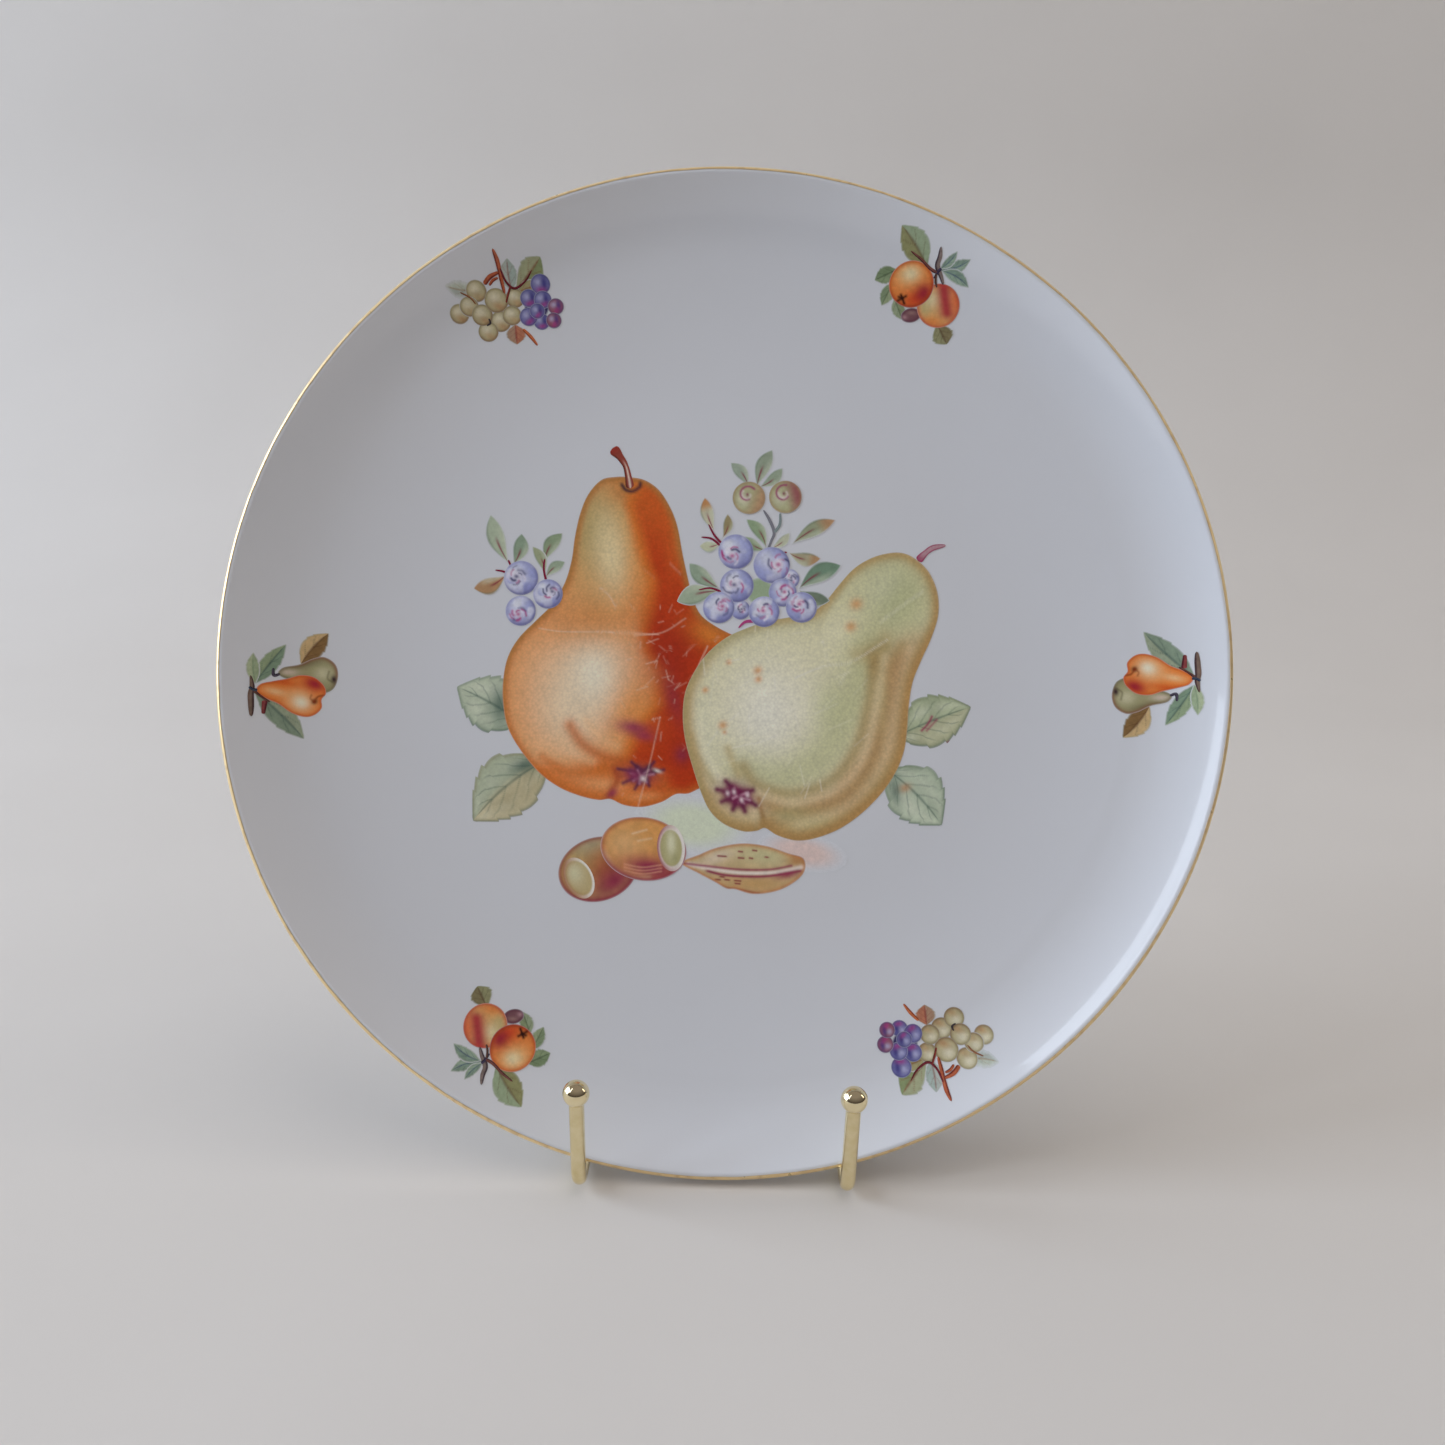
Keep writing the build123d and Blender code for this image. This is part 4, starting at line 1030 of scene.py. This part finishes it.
def small_leaf(base, tip, width, colour, other_half, drawn, bow=0.0, number=3, belly=0.5, soft=0.5):
    """A border leaf: two tones either side of its rib, dark veins and thin soft edges."""
    film = leaf(base, tip, width, colour, bow, belly, teeth=4, count=(40, 22))
    film.wash(other_half, 0.9 * ease((film.across + 0.08) / 0.16))
    veins(film, drawn, number, 0.4, 0.045, 0.6, 0.10)
    film.edge((30, 34, 22), 0.45, 0.4)
    return film.mottle(0.7, 0.16, 3).fade(soft, 0.8)


def twig(points, widths, colour, dark):
    """A twig with a dark side."""
    film = stem(points, widths, colour, (36, 8))
    film.wash(dark, ease((-film.across - 0.1) / 0.4) * 0.85)
    return film.mottle(0.5, 0.35, 4)


def pear_spray():
    """An orange pear over an olive one on a cut twig, with four leaves."""
    under = outlined([(-8.6, 1.7), (-6, 1.2), (-2.5, -1.2), (1.8, -2.3), (3.4, -3.6), (2, -5.3), (-2, -6.3),
                      (-5.6, -8.1), (-8.8, -8.6),
                      (-11.7, -6.7), (-12.6, -3.4), (-11.5, 0.2)], (-6.6, -3.6), 48, (47, 44, 27))
    under.spots(
        ((72, 69, 50), -8.6, -4, 2.6, 2, 0, 0.9), ((78, 66, 58), 0.6, -4, 2.6, 1, 0, 0.8),
        ((30, 28, 17), -4, -6.6, 4, 1, 15, 0.7),
    )
    under.edge((26, 24, 15), 0.8, 0.75)
    under.edge((46, 16, 10), 0.8, 0.5, side=250)
    under.spot((8, 4, 6), -11.5, -2.4, 0.7, 1.0, 10, 0.95)
    under.line((20, 18, 10), 0.3, (-11.2, -1.6), (-9.8, -2.6), (-10.1, -4.6), strength=0.5)
    over = outlined([(-4, 8.4), (-0.5, 7.4), (3, 5), (6.2, 3.6), (8.5, 1.7), (7.6, -0.3), (4.6, -1.3),
                     (1, -2.2), (-2.4, -3.3),
                     (-6, -2.9), (-8.8, -0.7), (-9.5, 1.6), (-8.4, 3.4), (-8.5, 5.8), (-6.6, 7.8)],
                     (-2.5, 2.4), 56, (88, 36, 11))
    over.spots(
        ((94, 72, 46), -2.6, 4, 3.6, 3, -20, 0.9), (CREAM, -3, 4.4, 1.9, 1.5, -20, 0.85),
        ((94, 66, 40), 3.8, 1.6, 2.8, 1.0, -12, 0.85), ((60, 6, 5), -6.2, -1, 3.2, 2, -20, 0.8),
        ((46, 4, 10), -6.6, -1, 2, 1.3, -15, 0.7), ((78, 17, 4), 2, -1.2, 4, 1, -10, 0.7),
    )
    over.edge((70, 16, 4), 0.7, 0.75)
    over.spot((13, 3, 2), -6.5, 4, 0.8, 0.7, 30, 0.95)
    over.lines(
        (0.75, (40, 10, 3), 0.3, (-6.4, 4), (-7.4, 2.6), (-9, 2.2)),
        (0.5, (40, 10, 3), 0.3, (-6.6, 4.2), (-5.4, 3.2), (-5.6, 2.2)),
    )
    return [
        small_leaf((8.8, 2), (-4.2, 14.6), 7.0, (45, 50, 38), (34, 42, 33), (10, 17, 16), 0.02),
        small_leaf((-2.4, -6.4), (-9.6, -15.4), 7.0, (70, 54, 32), (32, 20, 9), (16, 7, 4), 0.05),
        small_leaf((9, -0.3), (1.6, -11.8), 5.2, (42, 50, 34), (32, 42, 32), (9, 15, 15), 0.02),
        small_leaf((8.8, -0.3), (9.6, -9), 3.6, (56, 62, 44), (46, 54, 38), (30, 40, 28), 0.04),
        under.fade(0.35, 0.5),
        twig([(2.8, -3.4), (4.4, -3), (4.6, -5)], [0.7, 0.9, 0.6], (16, 14, 18), (6, 5, 8)),
        over.fade(0.3, 0.4),
        twig([(6.5, 8), (6.3, 4.2)], [0.9, 1.5], (38, 12, 12), (16, 4, 6)),
        twig([(5, 4.6), (7.4, 3), (9.8, 1)], [0.5, 0.6, 0.9], (22, 12, 10), (8, 5, 6)),
        twig([(9.3, 8.8), (9.5, 5.6), (9.7, 2.6), (9.5, 0.4), (10, -2.6)], [0.9, 1.4, 1.5, 1.2, 0.6],
             (30, 22, 18), (12, 7, 8)),
        twig([(8.2, 1.4), (9.4, 1.2), (10.2, 0.6)], [0.8, 0.7, 0.7], (10, 13, 18), (4, 5, 9)),
    ]


def apricot_spray():
    """Two apricots under a forked twig, with leaves all round and a bud below."""
    first = oval(-2.8, 0.7, 6.3, 6.3, (86, 36, 12), 0, 50)
    first.spots(
        ((90, 66, 36), -3.6, 3.4, 3.8, 3.2, 0, 0.85),
        ((90, 80, 56), -3.0, 3.6, 2.2, 1.8, 0, 0.85),
        ((74, 12, 4), -1, -3.2, 4.6, 2.6, 20, 0.85),
        ((42, 4, 9), 0.8, -1.6, 2.2, 2.6, -35, 0.85),
    )
    first.edge((66, 15, 4), 0.8, 0.7)
    first.edge((40, 6, 4), 0.8, 0.6, side=-70)
    for tip_x, tip_y in ((-5.6, -2), (-6.4, -3.6), (-4.2, -2.4), (-4.6, -4.4), (-6.2, -2.6)):
        first.line((7, 2, 1), 0.36, (-5.2, -3), (tip_x, tip_y), strength=0.95)
    second = oval(5, -5.2, 6.0, 6.0, (82, 52, 25), 0, 48)
    second.spots(
        ((84, 76, 52), 3.0, -3.4, 2.6, 2.6, 0, 0.9), ((60, 56, 32), 1.2, -6, 1.8, 3, 10, 0.6),
    )
    band = np.exp(-(((second.a - 7.2) + 0.18 * (second.b + 5)) / 2.0) ** 2)
    second.wash((52, 6, 10), 0.9 * band * ease((second.b + 10) / 3))
    second.spots(
        ((82, 22, 10), 10, -4, 1.6, 4, 0, 0.7), ((86, 36, 12), 3.4, -9.6, 3.4, 1.6, -10, 0.8),
    )
    second.edge((62, 12, 8), 0.8, 0.7)
    bud = oval(-2.6, -7.7, 2.9, 2.0, (30, 16, 18), 10, 20)
    bud.spots(
        ((80, 56, 58), -4.8, -8.4, 1.0, 0.8, 0, 0.8), ((52, 36, 32), -2.4, -7, 1.4, 0.6, 0, 0.6),
    )
    blue_leaf = [((5.2, 4.2), (13.2, 6.4), 3.8, -0.08), ((5.6, 4), (13.2, -0.6), 3.6, 0.08),
                 ((5, 4.6), (9.4, 8.6), 2.8, -0.08)]
    return [
        small_leaf((1.4, 5.4), (-6.4, 15.8), 8.0, (40, 40, 22), (44, 53, 38), (22, 14, 8), -0.03),
        *[small_leaf(base, tip, width, (34, 44, 36), (42, 52, 42), (7, 11, 25), bow, 4) for base, tip,
          width, bow in blue_leaf],
        small_leaf((-7, 4.8), (-13.2, 2), 5.2, (38, 46, 30), (30, 38, 24), (10, 14, 9)),
        small_leaf((-8, 1.4), (-11, -5), 4.2, (44, 50, 34), (34, 42, 28), (14, 18, 10)),
        small_leaf((-7.4, -3), (-5, -9), 4.2, (38, 44, 28), (44, 50, 36), (12, 16, 9)),
        small_leaf((4.6, -9.6), (7.8, -15.8), 6.6, (34, 30, 18), (42, 42, 26), (15, 8, 6), 0, 4, 0.62),
        bud.edge((18, 6, 10), 0.6, 0.8).fade(0.3, 0.5),
        second.mottle(0.8, 0.10, 4).fade(0.3, 0.4),
        twig([(4.8, 10), (4.7, 7.6), (4.2, 5.4), (5.4, 2.6), (6.2, 0.4)], [0.7, 1.3, 1.4, 1.1, 0.7],
             (32, 26, 24), (10, 7, 10)),
        twig([(3.4, 2.2), (4.6, 4), (5.4, 4.6)], [0.5, 0.7, 0.9], (13, 11, 18), (6, 5, 10)),
        first.mottle(0.8, 0.10, 4).fade(0.3, 0.4),
        twig([(-3.4, 9.4), (-0.4, 7.2), (2.2, 4.8), (4.2, 3.6)], [0.4, 0.7, 0.8, 0.9], (30, 14, 12),
             (12, 5, 6)),
        twig([(4, 3.4), (4, 1.4), (4.4, -0.2)], [0.7, 0.6, 0.5], (20, 12, 10), (8, 5, 5)),
    ]


def grape_spray():
    """Pale and blue grapes on rust-red stalks, with vine leaves."""
    pale = [(-8.2, 1.4, 2.9), (2.5, 0.4, 2.6), (-1.5, -6.2, 2.9), (-12.9, -5, 2.7), (-10.2, -2.8, 2.7),
            (-4.9, -9.2, 2.8),
            (-6.6, -4.8, 2.9), (-2.7, -0.6, 3.3), (1.7, -4.4, 2.7)]
    blue = [(9.6, 4.6, 2.8), (10.1, -5.7, 2.3), (6.4, 0.6, 2.5), (10.3, 0.4, 2.5), (6.4, -4.5, 2.6),
            (8.8, -2.8, 2.2)]
    ripe = [(14, -1.3, 2.3), (13.5, -5.2, 2.2)]
    films = [
        small_leaf((-6, 2), (-16.6, 1.8), 5.0, (56, 60, 56), (62, 66, 58), (44, 32, 20), 0.06, 3, 0.6, 1.4),
        small_leaf((1.6, 2.4), (0.4, 10.6), 5.4, (58, 62, 58), (50, 58, 54), (32, 10, 8), 0.04),
        small_leaf((2.2, 2.4), (9.6, 11.8), 7.4, (50, 52, 36), (36, 42, 24), (34, 12, 8), -0.03, 3, 0.62),
        small_leaf((3, 2), (10, 4.6), 4.6, (50, 46, 28), (46, 44, 24), (34, 12, 8), 0.03),
        small_leaf((2.6, -6.8), (3.2, -12.4), 6.0, (60, 30, 20), (52, 38, 28), (34, 5, 6), 0, 4),
        twig([(4.8, -8), (7, -10), (9, -12.4)], [0.8, 1.0, 0.6], (66, 26, 13), (36, 8, 4)),
        oval(8.6, -1.2, 3.6, 4.2, (10, 9, 22), 0, 16).fade(0.5, 0.8),
    ]
    for k, (x, y, r) in enumerate(pale):
        grape = oval(x, y, r, r, (60, 55, 37), 0, 24)
        grape.spots(
            ((84, 80, 66), x - 0.2 * r, y + 0.25 * r, 0.5 * r, 0.45 * r, 0, 0.85),
            ((60, 34, 18), x + 0.3 * r, y - 0.5 * r, 0.6 * r, 0.35 * r, -20, 0.35 + 0.08 * (k % 4)),
        )
        grape.edge((34, 28, 15), 0.5, 0.75)
        grape.edge((30, 16, 9), 0.6, 0.5, side=-60)
        films.append(grape.mottle(0.7, 0.12, k).fade(0.3, 0.75 if x < -7 else 0.3))
    for k, (x, y, r) in enumerate(blue + ripe):
        grape = oval(x, y, r, r, (27, 27, 50) if k < len(blue) else (42, 18, 24), 0, 24)
        grape.spots(
            ((60, 60, 78), x - 0.25 * r, y + 0.2 * r, 0.45 * r, 0.4 * r, 0, 0.75),
            ((10, 9, 32), x + 0.35 * r, y + 0.1 * r, 0.3 * r, 0.7 * r, 10, 0.8),
            ((52, 10, 34), x + 0.1 * r, y - 0.55 * r, 0.55 * r, 0.3 * r, 10 * k, 0.7),
        )
        grape.edge((13, 12, 28), 0.4, 0.7)
        films.append(grape.mottle(0.6, 0.16, k).fade(0.25, 0.5))
    rust, dark = (56, 20, 11), (26, 6, 5)
    films += [
        twig([(-3.4, 12.4), (-2.4, 10), (-1.8, 7.6), (-1.2, 4.6), (-0.4, 1.4)], [0.8, 1.3, 1.1, 1.0, 0.8],
             rust, dark),
        twig([(-6, 3.4), (-4.4, 5.4), (-2, 6.8)], [1.2, 1.2, 0.8], rust, dark),
        twig([(-4.6, 3.2), (-3.6, 4.6), (-2.2, 5.4)], [0.6, 0.8, 0.6], rust, dark),
        twig([(-1.6, 8), (0, 4.6), (2.4, 3), (5.4, 5.2), (7.2, 8.2)], [0.5, 0.6, 0.7, 0.5, 0.3], (30, 7, 9),
             (16, 3, 5)),
        twig([(0, -1), (0.6, 1.4), (1.2, 3.4)], [0.5, 0.6, 0.6], (36, 10, 8), (20, 4, 4)),
        twig([(-12.6, 0.6), (-10, -0.4), (-8.4, -2)], [0.3, 0.5, 0.4], (44, 24, 14), (30, 12, 8)),
        twig([(-5.4, -7.6), (-4.4, -6.8), (-4.8, -5.6)], [0.4, 0.6, 0.4], (14, 12, 12), (8, 6, 8)),
    ]
    return films


spray = enamel("spray_enamels", 0.4, 0.10, 0.15)
for design, films, places in (
    ("pears", pear_spray(), (("right", -1, 0), ("left", 184, 180))),
    ("apricots", apricot_spray(), (("top", 64, 0), ("bottom", 241, 180))),
    ("grapes", grape_spray(), (("top", 122, 0), ("bottom", 300, 180))),
):
    for side, angle, turn in places:
        x, y = SPRAY_RADIUS * cos(radians(angle)), SPRAY_RADIUS * sin(radians(angle))
        laid = [film.moved(x, y, turn) for film in films]
        fired(f"{design}_{side}", laid, spray, "spray_enamels", 0.035, 0.15, f"spray_{design}_{side}")


# ---- Brass stand
# Drawn brass wire, bent cold, brazed and lacquered, with fine lengthwise drawing marks and a
# slight tarnish. The ball ends are turned and polished bright.
def brass(name, dark, light, rough, spread):
    """Brass between two tones, with fine drawing marks and clouded polish."""
    finish = Finish(name, Metallic=1.0)
    cloud = finish.noise(300.0)
    drawn = finish.node("Mapping", {}, {"Vector": finish.place(), "Scale": (9000, 9000, 250)})
    marks = finish.node("TexNoise", {}, {"Vector": drawn, "Scale": 1.0, "Detail": 1.0})
    finish.feed(
        Base_Color=finish.mix(cloud, (*dark, 1), (*light, 1)),
        Roughness=marks * spread + cloud * spread + rough,
        Normal=finish.bump(marks, 0.000004),
    )
    return finish.material


wire_brass = brass("satin_brass", (0.72, 0.58, 0.29), (0.98, 0.87, 0.58), 0.04, 0.05)
ball_brass = brass("polished_brass", (0.88, 0.74, 0.44), (0.98, 0.87, 0.58), 0.02, 0.02)
for body in ("stand", "rear_leg"):
    for node in frame["record"]["behaviour"]["bodies"][body]:
        material = ball_brass if node.startswith("prong_ball") else wire_brass
        for place in frame["nodes"][node].material_slots:
            place.material = material
